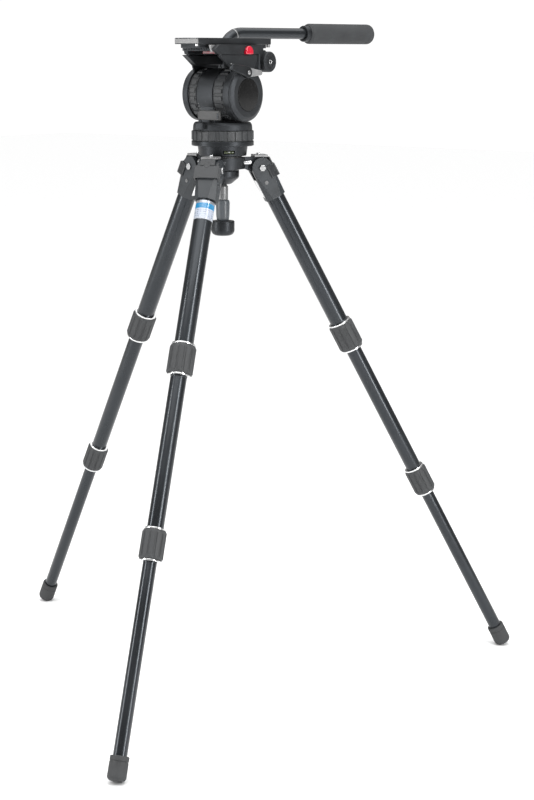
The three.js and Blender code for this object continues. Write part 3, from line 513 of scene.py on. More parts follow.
def buildLock(name, level, holder):
    place, lock, node = legPlace(name), locks[level], f"{name}_{level}_collar"
    bottom, top = span(node, place)
    edge, rim, bore = collar["edge"], lock["rim"], lock["bore"]
    low, high, shoulder = bottom + edge, top - edge, rim - edge - collar["shoulder"]
    profile = np.vstack([
        [(bore, bottom), (shoulder, bottom)],
        arc((rim - edge, low), edge, -70, 0, 4),
        climb(rim, low, high, collar["levels"])[1:-1],
        arc((rim - edge, high), edge, 0, 70, 4),
        [(shoulder, top), (bore, top)],
    ])
    ripple = collarRipple(lock, bottom, top)
    piece = turned(f"{name}.{level}Collar", profile, place, collar["panels"] * 16, ripple, 50)
    fit(piece, collarRubber, "grey_rubber", node, node)

    low, high, gap = bottom - sleeve["ringLength"], top + sleeve["ringLength"], sleeve["gap"]
    upper = wallOutline(lock["seat"], lock["ring"], top + gap, high)
    piece = turned(f"{name}.{level}.upperRing", softened(upper, sleeve["soft"]), place, 56)
    fit(piece, steel, "bright_steel", holder, f"{name}_{level}_sleeve")
    lower = wallOutline(lock["guide"], lock["ring"] - sleeve["ringStep"], low, bottom - gap)
    piece = turned(f"{name}.{level}.lowerRing", softened(lower, sleeve["soft"]), place, 56)
    fit(piece, steel, "bright_steel", holder)
    thread = [(lock["guide"], low + 1), (bore - gap, low + 1), (bore - gap, high - 1),
              (lock["seat"], high - 1)]
    fit(turned(f"{name}.{level}.thread", thread, place, 40), satinMetal, "bright_steel", holder)


def buildTubes(name):
    place = legPlace(name)
    for level, body in sections.items():
        radius = tubes[level]
        low, high = span(f"{name}_{level}_tube", place)
        outline = softened(wallOutline(radius - tubes["wall"], radius, low, high), 0.3)
        piece = turned(f"{name}.{level}Tube", outline, place, 64)
        fit(piece, enamel, "black_tube", f"{name}_{body}", f"{name}_{level}_tube")


sole = {"radius": 14.25, "edge": 7, "rim": 1.2, "socket": 10.8, "groove": 0.7, "grooveFrom": 9, "grooveTo": 7}


def buildFoot(name):
    place, node = legPlace(name), f"{name}_foot"
    radius, edge, rim = sole["radius"], sole["edge"], sole["rim"]
    end, start = span(node, place)
    low, high, waist = start - sole["grooveFrom"], start - sole["grooveTo"], radius - sole["groove"]
    profile = np.vstack([
        [(0, end)],
        arc((radius - edge, end + edge), edge, -90, 0, 12),
        [(radius, low), (waist, low + 0.6), (waist, high - 0.6), (radius, high)],
        arc((radius - rim, start - rim), rim, 0, 90, 4),
        [(sole["socket"], start), (0, start - 2)],
    ])
    fit(turned(f"{name}.foot", profile, place, 56), footRubber, "grey_rubber", f"{name}_lower_section", node)


pin = {"radius": 4, "inner": 17.7, "outer": 20.7, "hex": 5.4}
sideScrew = {"place": (-24, -5), "radius": 3.1, "low": 17.3, "high": 18.5}
innerStrip = {"low": (-17.4, -7, -46), "high": (-16, 7, -15)}


def buildShoulder(name):
    place, body = legPlace(name), f"{name}_leg"
    piece = cadCopy(f"{name}.shoulder", f"{name}_shoulder", 0.9)
    fit(piece, shoulderPlastic, "blue_grey_plastic", body, f"{name}_shoulder")

    origin, axes = place
    sideways = (origin, np.column_stack([axes[:, 2], axes[:, 0], axes[:, 1]]))
    low, high = pin["inner"], pin["outer"]
    shank = stud(f"{name}.pin", pin["radius"], -low, low, sideways)
    fit(shank, steel, "bright_steel", body, f"{name}_hinge_pin")
    hexagon = arc((0, 0), pin["hex"], 0, 300, 5)
    for side, ends in (("a", (low, high)), ("b", (-high, -low))):
        head = slab(f"{name}.pinHead.{side}", hexagon, *ends, sideways, 0.5)
        fit(head, steel, "bright_steel", body)

    circle = arc(sideScrew["place"], sideScrew["radius"], 0, 350, 35)
    low, high = sideScrew["low"], sideScrew["high"]
    for side, ends in (("a", (low, high)), ("b", (-high, -low))):
        screw = slab(f"{name}.sideScrew.{side}", circle, *ends, sideways, 0.5)
        fit(screw, satinMetal, "bright_steel", body)
    strip = block(f"{name}.innerStrip", innerStrip["low"], innerStrip["high"], place, 0.4)
    fit(strip, steel, "bright_steel", body)


hook = {"inner": 7.4, "outer": 20.4, "wing": 20, "low": -21, "high": -2.2, "ridges": 7, "height": 0.7}


def buildCatch(name):
    origin, axes = place = legPlace(name)
    body = f"{name}_angle_catch"
    finish = (catchPlastic, "blue_grey_plastic", body)
    fit(cadCopy(f"{name}.catch", body, 0.8), *finish, body)
    outwards = (origin, np.column_stack([axes[:, 1], axes[:, 2], axes[:, 0]]))
    outer = hook["outer"]
    relief = [(0, outer), (5.2, outer), (4.4, outer + 0.9), (0, outer + 0.5)]
    fit(turned(f"{name}.catchRelief", softened(relief, 0.3, False), outwards, 40), *finish)
    # finger ridges: a comb whose every second point stands out by the ridge's height
    count = 2 * hook["ridges"] + 1
    edges = np.linspace(hook["inner"] + 0.8, outer - 1.2, count)
    crest = hook["wing"] + hook["height"] * (np.arange(count) % 2)
    back = [(edges[-1], hook["wing"] - 1), (edges[0], hook["wing"] - 1)]
    comb = np.vstack([np.column_stack([edges, crest]), back])
    for letter, outline in (("b", comb[::-1]), ("a", comb * (1, -1))):
        ridges = slab(f"{name}.ridges{letter}", outline, hook["low"], hook["high"], place, 0)
        fit(ridges, *finish)


for legName in legNames:
    buildTubes(legName)
    buildLock(legName, "upper", legName + "_leg")
    buildLock(legName, "lower", legName + "_middle_section")
    buildFoot(legName)
    buildShoulder(legName)
    buildCatch(legName)
outline = wallOutline(label["inner"], tubes["upper"] + label["proud"], -label["top"] - label["length"],
                      -label["top"])
fit(turned("front.label", outline, legPlace("front"), 64), printedLabel(), "bright_steel", "front_leg")
print("legs made")


# ---- hub and clamp: the hub's heights are above the hinge pins, the clamp's in the head's place

stopPlate = {"start": hingeReach - 12.2, "end": hingeReach + 10.05, "half": 13.1, "low": 17.3, "high": 21.1}
stopBolt = {"reach": hingeReach - 3, "radius": 3, "high": 23.6}
armRod = {"radius": 3.2, "across": 12.5, "height": 9, "start": 30, "end": hingeReach - 17.6}


def buildArm(name):
    # the stop plate and the rod ends on the hub's arm to one leg
    x, y = joints[name + "_leg_fold"]["pos_m"][:2]
    place = turnedAbout(pinPlace, (0, 0, 1), math.degrees(math.atan2(y, x)))
    half, top = stopPlate["half"], stopPlate["high"]
    low, high = (stopPlate["start"], -half, stopPlate["low"]), (stopPlate["end"], half, top)
    fit(block(name + ".stop", low, high, place, 0.6), paleMetal, "black_cast", "hub")
    boltPlace = shifted(place, (stopBolt["reach"], 0, 0))
    bolt = stud(name + ".stopBolt", stopBolt["radius"], top, stopBolt["high"], boltPlace, 32, 0.6)
    fit(bolt, steel, "black_cast", "hub")
    origin, axes = place
    inward = (origin, np.column_stack([axes[:, 1], axes[:, 2], axes[:, 0]]))
    for side, across in (("a", armRod["across"]), ("b", -armRod["across"])):
        rodPlace = shifted(inward, (across, armRod["height"], 0))
        piece = stud(f"{name}.armRod.{side}", armRod["radius"], armRod["start"], armRod["end"], rodPlace,
                     28, 0.7)
        fit(piece, steel, "bright_steel", "hub")


castPart(cadCopy("hub.block", "hub", 0.9), "hub", "hub")
for legName in legNames:
    buildArm(legName)

cup = {"radius": 26.5, "hole": 6.3, "low": -22, "tip": -33, "seat": 36.2, "centre": 13}
tieRod = {"radius": 6, "thread": 5, "collar": 8.6, "collarEnd": -58, "top": -8.4}
tieGrip = {"radius": 11.4, "bore": 5.4, "end": -92, "pommel": 19, "curve": 9, "rim": 2, "pommelEnd": -116}

radius, hole, tip = cup["radius"], cup["hole"], cup["tip"]
angles = [-90 + math.degrees(math.asin(reach / cup["seat"])) for reach in (radius, hole)]
bowl = arc((0, cup["centre"]), cup["seat"], *angles, 10)
outside = softened([(hole, tip), (radius / 2, tip), (radius, cup["low"]), bowl[0]], 3, False)
piece = turned("clamp.cup", np.vstack([outside, bowl[1:]]), headPlace, 72)
fit(piece, castDark, "black_cast", "level_base", "clamp_cup")

radius, thread, wide, high = tieRod["radius"], tieRod["thread"], tieRod["collar"], tieRod["top"]
end, collarEnd = tieGrip["end"], tieRod["collarEnd"]
outline = [(0, end - 5), (thread, end - 5), (thread, collarEnd), (wide, collarEnd), (wide, tip - 4),
           (radius, tip - 0.3), (radius, high), (0, high)]
piece = turned("clamp.rod", softened(outline, 0.9, False), headPlace, 48)
fit(piece, satinMetal, "bright_steel", "level_base", "tie_down_rod")

radius, bore, high = tieGrip["radius"], tieGrip["bore"], collarEnd - 0.4
outline = [(bore, end), (radius - 1.6, end), (radius - 0.6, end + 8), (radius, high - 5),
           (radius - 1.2, high), (bore, high)]
piece = turned("clamp.grip", softened(outline, 2.2), headPlace, 64)
fit(piece, gripPlastic, "grey_rubber", "tie_down_grip", "tie_down_grip")

radius, low, curve, rim = tieGrip["pommel"], tieGrip["pommelEnd"], tieGrip["curve"], tieGrip["rim"]
pommel = np.vstack([
    [(0, low)],
    arc((radius - curve, low + curve), curve, -90, 0, 10),
    [(radius, end - 3.4)],
    arc((radius - rim, end - rim), rim, 20, 90, 4),
    [(9.5, end + 0.6), (0, end + 0.6)],
])
fit(turned("clamp.pommel", pommel, headPlace, 64), castDark, "grey_rubber", "tie_down_grip")
print("hub and clamp made")


# ---- pan part, heights in the head's place

neckShape = {"low": 13, "lowRadius": 38.25, "high": 29, "highRadius": 40.25, "depth": 5, "levels": 34}
lip = {"radius": 50.1, "middle": 33, "top": 37, "inner": 38}
window = {"angle": -35.5, "half": 8.45, "height": 19.5, "tall": 2.3}
vial = {"reach": 36.25, "radius": 2, "edge": 0.8, "half": 8.25, "bubble": 1.3, "bubbleLength": 2.2}


def windowRipple(angle, radius, height):
    # a pocket in the neck where the level sits: its depth inside a rectangle of angle and height
    turn = (np.degrees(angle) - window["angle"] + 180) % 360 - 180
    across = np.abs(np.radians(turn)) * neckShape["lowRadius"]
    inside = 1 - smoothStep(across, window["half"], window["half"] + 0.8)
    inside = inside * (1 - smoothStep(np.abs(height - window["height"]), window["tall"],
                                      window["tall"] + 0.4))
    return neckShape["depth"] * inside * (radius > 30)


def ribRipple(count, depth, share, radiusFrom):
    # ribs round a rim: the depth is taken off between them, with short slopes at their sides
    def ripple(angle, radius, height):
        phase = np.abs((angle * count / (2 * np.pi)) % 1 - 0.5) * 2
        return (radius > radiusFrom) * depth * smoothStep(phase, share, share + 0.12)
    return ripple


low, high, narrow, wide = (neckShape[key] for key in ("low", "high", "lowRadius", "highRadius"))
levels = np.linspace(low + 0.8, high - 0.4, neckShape["levels"])
wall = np.column_stack([np.interp(levels, [low, high], [narrow, wide]), levels])
radius, above = lip["radius"], lip["top"]
flange = [(wide, high), (radius, high), (radius, lip["middle"]), (radius, above), (lip["inner"], above)]
outline = np.vstack([[(0, low), (narrow - 0.8, low)], wall, softened(flange, 1.4, False), [(0, above)]])
piece = turned("pan.neck", outline, headPlace, 240, windowRipple, 40)
fit(piece, castDark, "black_cast", "level_base", "pan_base")
spindle = [(0, 36), (38, 36), (38, 53), (15, 53), (15, 62), (0, 62)]
fit(turned("pan.spindle", spindle, headPlace, 64), satinMetal, "black_cast", "level_base")

vialPlace = turnedAbout(headPlace, (0, 0, 1), window["angle"])
vialPlace = shifted(vialPlace, (vial["reach"], 0, window["height"]))
origin, axes = vialPlace
vialAxes = np.column_stack([axes[:, 2], axes[:, 0], axes[:, 1]])
half, edge, inner = vial["half"], vial["edge"], vial["radius"] - vial["edge"]
tube = np.vstack([[(0, -half)], arc((inner, edge - half), edge, -90, 0, 4),
                  arc((inner, half - edge), edge, 0, 90, 4), [(0, half)]])
piece = turned("pan.vial", tube, (origin, vialAxes), 32)
fit(piece, fluid, "level_glass", "level_base", "spirit_level")
bubble = arc((0, 0), vial["bubble"], -90, 90, 12) * (1, vial["bubbleLength"])
piece = turned("pan.bubble", bubble, (shifted(vialPlace, (1, 0, 0.4))[0], vialAxes), 24)
fit(piece, paleMetal, "level_glass", "level_base")

panRing = {"low": 37.3, "high": 53, "radius": 50.1, "core": 38.3, "ribs": 24, "depth": 1.6, "foot": 1.7}
low, high, radius, core = (panRing[key] for key in ("low", "high", "radius", "core"))
inset = radius - panRing["foot"]
outline = np.vstack([
    [(core, low), (inset, low), (inset, low + 0.9)],
    climb(radius, low + 1.4, high - 1, 8),
    [(radius - 0.8, high), (core, high)],
])
ripple = ribRipple(panRing["ribs"], panRing["depth"], 0.5, 48.5)
piece = turned("pan.ring", outline, headPlace, panRing["ribs"] * 16, ripple, 50)
fit(piece, ringRubber, "grey_rubber", "pan_drag_ring", "pan_drag_ring")

base = {"bore": 15.3, "low": 53.3, "high": 66.5, "lowRadius": 48, "highRadius": 47, "edge": 4}
post = {"low": (-17, -36, 63), "high": (12, 36, 100)}
drum = {"left": 12, "right": -17, "radius": 41, "band": -21, "bandRadius": 40.3, "hub": 30, "bore": 10.3,
        "end": -37.7, "start": 34.3}
mark = {"count": 9, "from": 20, "step": 7, "low": (-20.2, -40.45, -0.35), "high": (-17.8, -40, 0.35)}

low, high, bore, radius = (base[key] for key in ("low", "high", "bore", "highRadius"))
outline = [(bore, low), (base["lowRadius"], low), (radius + 0.2, high - base["edge"]), (radius - 2.5, high),
           (bore, high)]
castPart(turned("head.base", softened(outline, 1.6), headPlace, 120), "head_body", "head_body")
castPart(block("head.post", post["low"], post["high"], headPlace, 2), "head_body")
band, bandRadius, hub, radius = (drum[key] for key in ("band", "bandRadius", "hub", "radius"))
outline = [(hub, drum["end"]), (hub, band), (bandRadius, band), (bandRadius, drum["right"]),
           (radius, drum["right"]), (radius, drum["left"]), (hub, drum["left"]), (hub, drum["start"])]
ends = [[(drum["bore"], drum[key])] for key in ("end", "start")]
# the drum's axis is X, so its profile runs from right to left
outline = np.vstack([ends[0], softened(outline, 0.7, False), ends[1]])
castPart(turned("head.drum", outline, tiltAcross, 120), "head_body")
for index in range(mark["count"]):
    # pale marks on the band beside the drag ring
    markPlace = turnedAbout(tiltPlace, (1, 0, 0), mark["from"] + index * mark["step"])
    piece = block(f"head.mark{index}", mark["low"], mark["high"], markPlace, 0)
    fit(piece, paleMetal, "black_cast", "head_body")

panLever = {"stem": 2.9, "start": 57, "low": 71, "high": 86, "length": 41, "half": 3, "corner": 5,
            "tipCorner": 3}
lug = {"low": (-7, -4.6, 55.5), "high": (7, 10, base["high"])}
leverPlace = placeAt(joints["pan_lock"]["pos_m"])
leverPlace[0][2] = headPlace[0][2]
castPart(block("head.lug", lug["low"], lug["high"], leverPlace, 1.6), "head_body")
length, half, low, high, corner, tipCorner = (
    panLever[key] for key in ("length", "half", "low", "high", "corner", "tipCorner"))
stem = stud("panLock.stem", panLever["stem"], panLever["start"], low + 2, leverPlace, 32, 0.6)
fit(stem, cast, "grey_metal", "pan_lock_lever")
upright = (leverPlace[0], np.column_stack([(1, 0, 0), (0, 0, 1), (0, -1, 0)]))
outline = np.vstack([
    [(-half, low), (length, low)],
    arc((length - tipCorner, high - tipCorner), tipCorner, 0, 90, 6),
    arc((corner - half, high - corner), corner, 90, 180, 8),
])
piece = slab("panLock.paddle", outline, -half, half, upright, 1.2)
fit(piece, darkMetal, "grey_metal", "pan_lock_lever", "pan_lock_lever")
tipLow, tipHigh = (length - 5, low + 2, -half - 0.5), (length - 1, high - 4, half + 0.5)
fit(block("panLock.tip", tipLow, tipHigh, upright, 0.7), castDark, "grey_metal", "pan_lock_lever")
print("pan part made")


# ---- tilting part, heights above the tilt axis; profiles along X

ringShape = {"radius": 41.5, "bore": 30.3, "edge": 1, "depth": 2.2, "levels": 22, "share": 0.52,
             "slope": 0.12, "rim": 1.6, "trough": 2.8, "rimShare": 0.55}


def padRipple(count, depth, low, high, radiusFrom):
    # square pads in a trough between two rims: the depth is taken off where there is neither pad nor rim
    def ripple(angle, radius, height):
        phase = np.abs((angle * count / (2 * np.pi)) % 1 - 0.5) * 2
        across = 1 - smoothStep(phase, ringShape["share"], ringShape["share"] + ringShape["slope"])
        near = np.minimum(height - low, high - height)
        rim = 1 - smoothStep(near, ringShape["rim"], ringShape["rim"] + 0.6)
        pad = across * smoothStep(near, ringShape["trough"], ringShape["trough"] + 0.6)
        return (radius > radiusFrom) * depth * (1 - np.maximum(ringShape["rimShare"] * rim, pad))
    return ripple


def dragRing(name, node, low, high, count):
    radius, edge, bore, depth = (ringShape[key] for key in ("radius", "edge", "bore", "depth"))
    inset = radius - depth - 0.3
    outline = np.vstack([
        [(bore, low), (inset, low)],
        climb(radius, low + edge, high - edge, ringShape["levels"]),
        [(inset, high), (bore, high)],
    ])
    ripple = padRipple(count, depth, low, high, radius - 0.5)
    fit(turned(name, outline, tiltAcross, count * 16, ripple, 50), ringRubber, "grey_rubber", node, node)


dragRing("tilt.ring", "tilt_drag_ring", 12.3, 34.3, 22)
dragRing("counterbalance.ring", "counterbalance_ring", -37.7, -21.3, 20)

cheek = {"radius": 42.5, "bore": 10.2, "leftInner": 34.9, "leftOuter": 46.7, "rightInner": -38.3,
         "rightOuter": -53, "bevel": 7, "drop": 4.5}
cap = {"inner": 46.9, "outer": 53, "rim": 42, "bevel": 6.5, "edge": 3.6, "disc": 25.5, "recess": 1.5}

radius, bore = cheek["radius"], cheek["bore"]
outline = softened(wallOutline(bore, radius, cheek["leftInner"], cheek["leftOuter"]), 0.9)
castPart(turned("left.cheek", outline, tiltAcross, 120), "yoke", "left_cheek")
inner, outer = cheek["rightInner"], cheek["rightOuter"]
outline = [(0, outer), (radius - cheek["bevel"], outer), (radius, outer + cheek["drop"]), (radius, inner),
           (bore, inner), (bore, inner - 3), (0, inner - 3)]
castPart(turned("right.cheek", softened(outline, 1.2, False), tiltAcross, 120), "yoke", "right_cheek")
rim, inner, outer, disc = (cap[key] for key in ("rim", "inner", "outer", "disc"))
floorLevel = outer - cap["recess"]
outline = [(0, inner), (rim, inner), (rim, outer - cap["edge"]), (rim - cap["bevel"], outer),
           (disc + 0.5, outer), (disc + 0.5, floorLevel), (0, floorLevel)]
castPart(turned("left.cap", softened(outline, 0.8, False), tiltAcross, 120), "yoke", "left_cap")
outline = [(0, outer - 1.4), (disc, outer - 1.4), (disc, outer + 0.35), (0, outer + 0.4)]
piece = turned("left.disc", softened(outline, 0.5, False), tiltAcross, 96)
fit(piece, gloss, "gloss_black", "yoke", "cap_disc")

arms = {"foot": (-27.6, 45), "root": (-21.6, 28), "rear": (26, 28), "rearFoot": (38, 45), "top": 61.7,
        "rearTop": 44, "faceLow": 45.5, "faceHigh": 61, "faceInset": 0.4}
chevron = {"tip": (-64.5, 70.4), "slope": (64.5 - 27.6) / (70.4 - 45)}


def chevronLine(height):
    # the sloping front edge that an arm shares with the skirt above it
    return arms["foot"][0] - chevron["slope"] * (height - arms["foot"][1])


faceLow, faceHigh, inset = arms["faceLow"], arms["faceHigh"], arms["faceInset"]
face = [(chevronLine(faceHigh), faceHigh), (chevronLine(faceLow) + 1, faceLow),
        (arms["rearFoot"][0] - 0.5, faceLow), (arms["rearTop"] - 0.5, faceHigh)]
whole = [(chevronLine(arms["top"]), arms["top"]), arms["foot"], arms["root"], arms["rear"], arms["rearFoot"],
         (arms["rearTop"], arms["top"])]
for side, faceEnds, wholeEnds in (("left", (30, 38), (34.9, 38)), ("right", (-41.3, -30), (-41.3, -38.4))):
    castPart(slab(side + ".armTop", face, faceEnds[0] + inset, faceEnds[1] - inset, tiltAcross, 0.9), "yoke")
    castPart(slab(side + ".arm", whole, *wholeEnds, tiltAcross, 0.9), "yoke")

button = {"y": 18.3, "half": 9, "low": 62.9, "shoulder": 66.8, "inner": 32, "outer": 42, "gap": 0.8}
skirt = {"outer": 38, "inner": 30, "seam": 62.6, "top": 77.9, "front": -54, "rear": 58, "rearFoot": 47.3,
         "rake": 5}
bedShape = {"low": 68, "high": 78, "groove": 19.3, "floor": 72, "front": 53.9, "rear": -57.9}
rearBlock = {"low": (-37.5, 46.3, 36), "high": (37.5, 66, 69.5)}
seamShade = {"inner": 31, "outer": 36.6, "low": (-46, 59), "high": (42, 65)}
comb = {"count": 17, "start": -34, "pitch": 3.4, "width": 1.7, "low": (-55, 69.2), "high": (-53, 74)}

reach = button["half"] + button["gap"]
notch = arc((button["y"], button["shoulder"]), reach, 180, 0, 18)
seam, rear, front, high = skirt["seam"], skirt["rear"], skirt["front"], skirt["top"]
leftOutline = np.vstack([
    [(front, high), chevron["tip"], (chevronLine(seam), seam), (button["y"] - reach, seam)],
    notch,
    [(button["y"] + reach, seam), (skirt["rearFoot"], seam), (rear, high)],
])
inner, outer = skirt["inner"], skirt["outer"]
castPart(slab("platform.leftSkirt", leftOutline, inner, outer, tiltAcross, 0.9), "yoke")
rightOutline = [(front, high), (front + skirt["rake"], seam), (skirt["rearFoot"], seam), (rear, high)]
castPart(slab("platform.rightSkirt", rightOutline, -outer, -inner, tiltAcross, 0.9), "yoke")
outer, groove, low, high = outer - 0.05, bedShape["groove"], bedShape["low"], bedShape["high"]
bed = [(-outer, low), (outer, low), (outer, high), (groove, high), (groove, bedShape["floor"]),
       (-groove, bedShape["floor"]), (-groove, high), (-outer, high)]
castPart(slab("platform.bed", bed, bedShape["rear"], bedShape["front"], tiltLengthwise, 0.7), "yoke",
         "platform")
castPart(block("platform.rear", rearBlock["low"], rearBlock["high"], tiltPlace, 2.2), "yoke")
for letter, ends in (("b", (seamShade["inner"], seamShade["outer"])), ("a", (-seamShade["outer"], -seamShade["inner"]))):
    # a dark block behind the seam between an arm and its skirt: painted shade that keeps the seam dark
    low, high = (ends[0], *seamShade["low"]), (ends[1], *seamShade["high"])
    fit(block(f"platform.lining{letter}", low, high, tiltPlace, 0), castDark, "black_cast", "yoke")
for index in range(comb["count"]):
    x = comb["start"] + index * comb["pitch"]
    low, high = (x, *comb["low"]), (x + comb["width"], *comb["high"])
    fit(block(f"platform.tooth{index}", low, high, tiltPlace, 0), castDark, "black_cast", "yoke")
strip = block("platform.strip", (4, -53.6, 64), (29.6, -51.5, 67.6), tiltPlace, 0.4)
fit(strip, redDark, "red_plastic", "yoke")
facet = slab("platform.facet", [(-66, 77.4), (-61, 66), (-50, 77.4)], 26, 29.8, tiltAcross, 0.5)
fit(facet, paleMetal, "black_cast", "yoke")

rosette = {"y": 66, "height": 51, "radius": 16.4, "face": 46, "edge": 1.5, "rim": 4.5, "sink": 1.4,
           "boss": 5.2, "teeth": 48, "toothDepth": 0.35, "insert": 3.6, "hole": 2.4}
rosettePlace = shifted(tiltAcross, (rosette["y"], rosette["height"], 0))
radius, face, edge, boss = (rosette[key] for key in ("radius", "face", "edge", "boss"))
outline = [(0, -face), (radius - edge, -face), (radius, -face + edge), (radius, face - edge),
           (radius - edge, face), (radius - rosette["rim"], face), (radius - 5.2, face - rosette["sink"]),
           (boss, face - rosette["sink"]), (boss, face - 0.4), (0, face - 0.4)]


def toothRipple(angle, radius, height):
    # fine radial teeth near the rosette's rim: a cosine of the angle, raised and halved
    return rosette["toothDepth"] * (radius > 12) * (0.5 + 0.5 * np.cos(angle * rosette["teeth"]))


castPart(turned("platform.rosette", softened(outline, 0.4, False), rosettePlace, 192, toothRipple), "yoke")
radius, hole = rosette["insert"], rosette["hole"]
outline = [(0, face - 1), (radius, face - 1), (radius, face + 0.1), (hole, face + 0.1),
           (hole - 0.2, face - 0.6), (0, face - 0.6)]
piece = turned("platform.insert", softened(outline, 0.25, False), rosettePlace, 32)
fit(piece, steel, "bright_steel", "yoke")

y, half = button["y"], button["half"]
outline = np.vstack([[(y - half, button["low"]), (y + half, button["low"])],
                     arc((y, button["shoulder"]), half, 0, 180, 24)])
piece = slab("release.button", outline, button["inner"], button["outer"], tiltAcross, 1.6, 4)
fit(piece, red, "red_plastic", "release_button", "release_button")

lever = {"y": -7, "z": 35, "hub": 9, "low": 53.6, "high": 59.6, "stem": 4, "boss": 6, "start": 47.5,
         "bolt": 3.2, "frontTip": (-43, 43), "frontRadius": 5.5, "rearTip": (25, 34), "rearRadius": 4,
         "rearRoot": (5.4, 7.2)}
y, z, low, high = (lever[key] for key in ("y", "z", "low", "high"))
pivot = shifted(tiltAcross, (y, z, 0))
# the lever is one part: its front wing is drawn in the dark casting as painted shade
wing = np.vstack([arc((y, z), lever["hub"], 80, -140, 18),
                  arc(lever["frontTip"], lever["frontRadius"], -130, -270, 12)])
piece = slab("tiltLock.frontPaintedShade", wing[::-1], low, high, tiltAcross, 1.4)
fit(piece, castDark, "grey_metal", "tilt_lock_lever", "tilt_lock_lever")
across, up = lever["rearRoot"]
# its rear wing is drawn in pale metal as a painted highlight
wing = np.vstack([arc(lever["rearTip"], lever["rearRadius"], -90, 90, 10),
                  [(y + across, z + up), (y + across, z - up)]])
piece = slab("tiltLock.rearPaintedHighlight", wing, low + 0.6, high - 0.8, tiltAcross, 1.2)
fit(piece, paleMetal, "grey_metal", "tilt_lock_lever")
stem, boss, start, proud = lever["stem"], lever["boss"], lever["start"], high + 0.4
outline = [(0, start), (stem, start), (stem, low + 0.4), (boss, low + 0.4), (boss, proud), (0, proud)]
piece = turned("tiltLock.stem", softened(outline, 0.3, False), pivot, 32)
fit(piece, castDark, "grey_metal", "tilt_lock_lever")
bolt = stud("tiltLock.bolt", lever["bolt"], high, high + 1.3, pivot, 24, 0.4)
fit(bolt, steel, "bright_steel", "tilt_lock_lever")

farLever = {"y": -12, "z": 71, "low": -48, "high": -42, "hub": 8, "tip": (22, 69), "tipRadius": 4.5,
            "stem": 3.9}
centre = (farLever["y"], farLever["z"])
outline = np.vstack([arc(centre, farLever["hub"], 80, 280, 18),
                     arc(farLever["tip"], farLever["tipRadius"], -90, 90, 12)])
piece = slab("plateLock.blade", outline, farLever["low"], farLever["high"], tiltAcross, 1.4)
fit(piece, satinMetal, "grey_metal", "plate_lock_lever", "plate_lock_lever")
stem = stud("plateLock.stem", farLever["stem"], -47, -26.6, shifted(tiltAcross, (*centre, 0)), 24)
fit(stem, satinMetal, "grey_metal", "plate_lock_lever")

screws = {"radius": 1.9, "low": 37.6, "high": 38.5, "places": [(-24, 47.5), (-19, 43.5)]}
for index, spot in enumerate(screws["places"]):
    screwPlace = shifted(tiltAcross, (*spot, 0))
    screw = stud(f"left.screw{index}", screws["radius"], screws["low"], screws["high"], screwPlace, 20, 0.4)
    fit(screw, steel, "bright_steel", "yoke")
print("tilting part made")


# ---- camera plate, heights above the tilt axis

plate = {"front": -88, "rear": 95, "low": 78.3, "high": 88}
pads = {"inner": 8.6, "outer": 21.5, "front": -74, "rear": 84, "sunk": 1, "proud": 0.25}


def plateBlock(name, low, high, material, bevel):
    fit(block(name, low, high, tiltPlace, bevel), material, "black_cast", "camera_plate")


front, rear, bottom, high = (plate[key] for key in ("front", "rear", "low", "high"))
castPart(cadCopy("plate.body", "camera_plate", 1), "camera_plate", "camera_plate")
plateBlock("plate.end", (-24.2, front - 0.05, bottom + 0.6), (24.2, front + 2, high - 0.6), satinMetal, 0.8)
plateBlock("plate.hook", (17.4, front + 0.2, 75.2), (21.2, front + 4, bottom + 3), steel, 0.9)
plateBlock("plate.rearHook", (19.5, rear - 7, 73.6), (23.6, rear - 1, bottom + 2), paleMetal, 0.9)
for side, ends in (("left", (pads["inner"], pads["outer"])), ("right", (-pads["outer"], -pads["inner"]))):
    low = (ends[0], pads["front"], high - pads["sunk"])
    plateBlock("plate.pad." + side, low, (ends[1], pads["rear"], high + pads["proud"]), footRubber, 0.3)
fit(cadCopy("plate.screw", "camera_screw", 0.3), steel, "bright_steel", "camera_screw", "camera_screw")
print("plate made")


# ---- pan bar

bar = {"radius": 9.2, "above": 97, "knee": 86, "bend": 28, "yaw": 12.5, "start": 8.2, "toGrip": 134,
       "grip": 156, "overlap": 126, "ringProud": 0.35}

handleX, handleY, handleZ = joints["handle_angle"]["pos_m"]
clampPoint = np.array([handleX / mm, handleY / mm, (handleZ - tiltPlace[0][2]) / mm])
knee = np.array([clampPoint[0], bar["knee"], bar["above"]])
rise = (knee - clampPoint) / np.linalg.norm(knee - clampPoint)
yaw = math.radians(bar["yaw"])
run = np.array([math.sin(yaw), math.cos(yaw), 0])


def alongPlace(point, direction):
    # a place whose third axis is the direction
    across = np.cross((0, 0, 1.0), direction)
    across /= np.linalg.norm(across)
    axes = np.column_stack([across, np.cross(direction, across), direction])
    return shifted(tiltPlace, point)[0], axes


# the knee is a parabola between its two straights
t = np.linspace(0, 1, 25)[:, None]
bendStart, bendEnd = knee - bar["bend"] * rise, knee + bar["bend"] * run
bend = (1 - t) ** 2 * bendStart + 2 * t * (1 - t) * knee + t * t * bendEnd
gripStart = bendEnd + bar["toGrip"] * run
straight = bendEnd + np.linspace(0, bar["toGrip"] + bar["overlap"], 12)[1:, None] * run
route = np.vstack([[clampPoint + bar["start"] * rise], bend, straight])
fit(swept("bar.tube", route, bar["radius"], tiltPlace, 48), enamel, "black_tube", "handle", "pan_bar")
piece = swept("bar.ring", bend[16:18], bar["radius"] + bar["ringProud"], tiltPlace, 48)
fit(piece, paleMetal, "bright_steel", "handle")

clamp = {"outer": -70, "inner": -46.3, "radius": 16.4, "bore": 3.3, "socket": 11.5, "socketBore": 9.3,
         "length": 22}
knob = {"radius": 11, "lobes": 6, "depth": 1.2, "length": 14, "start": -71, "bolt": 3, "boltEnd": -40.2}

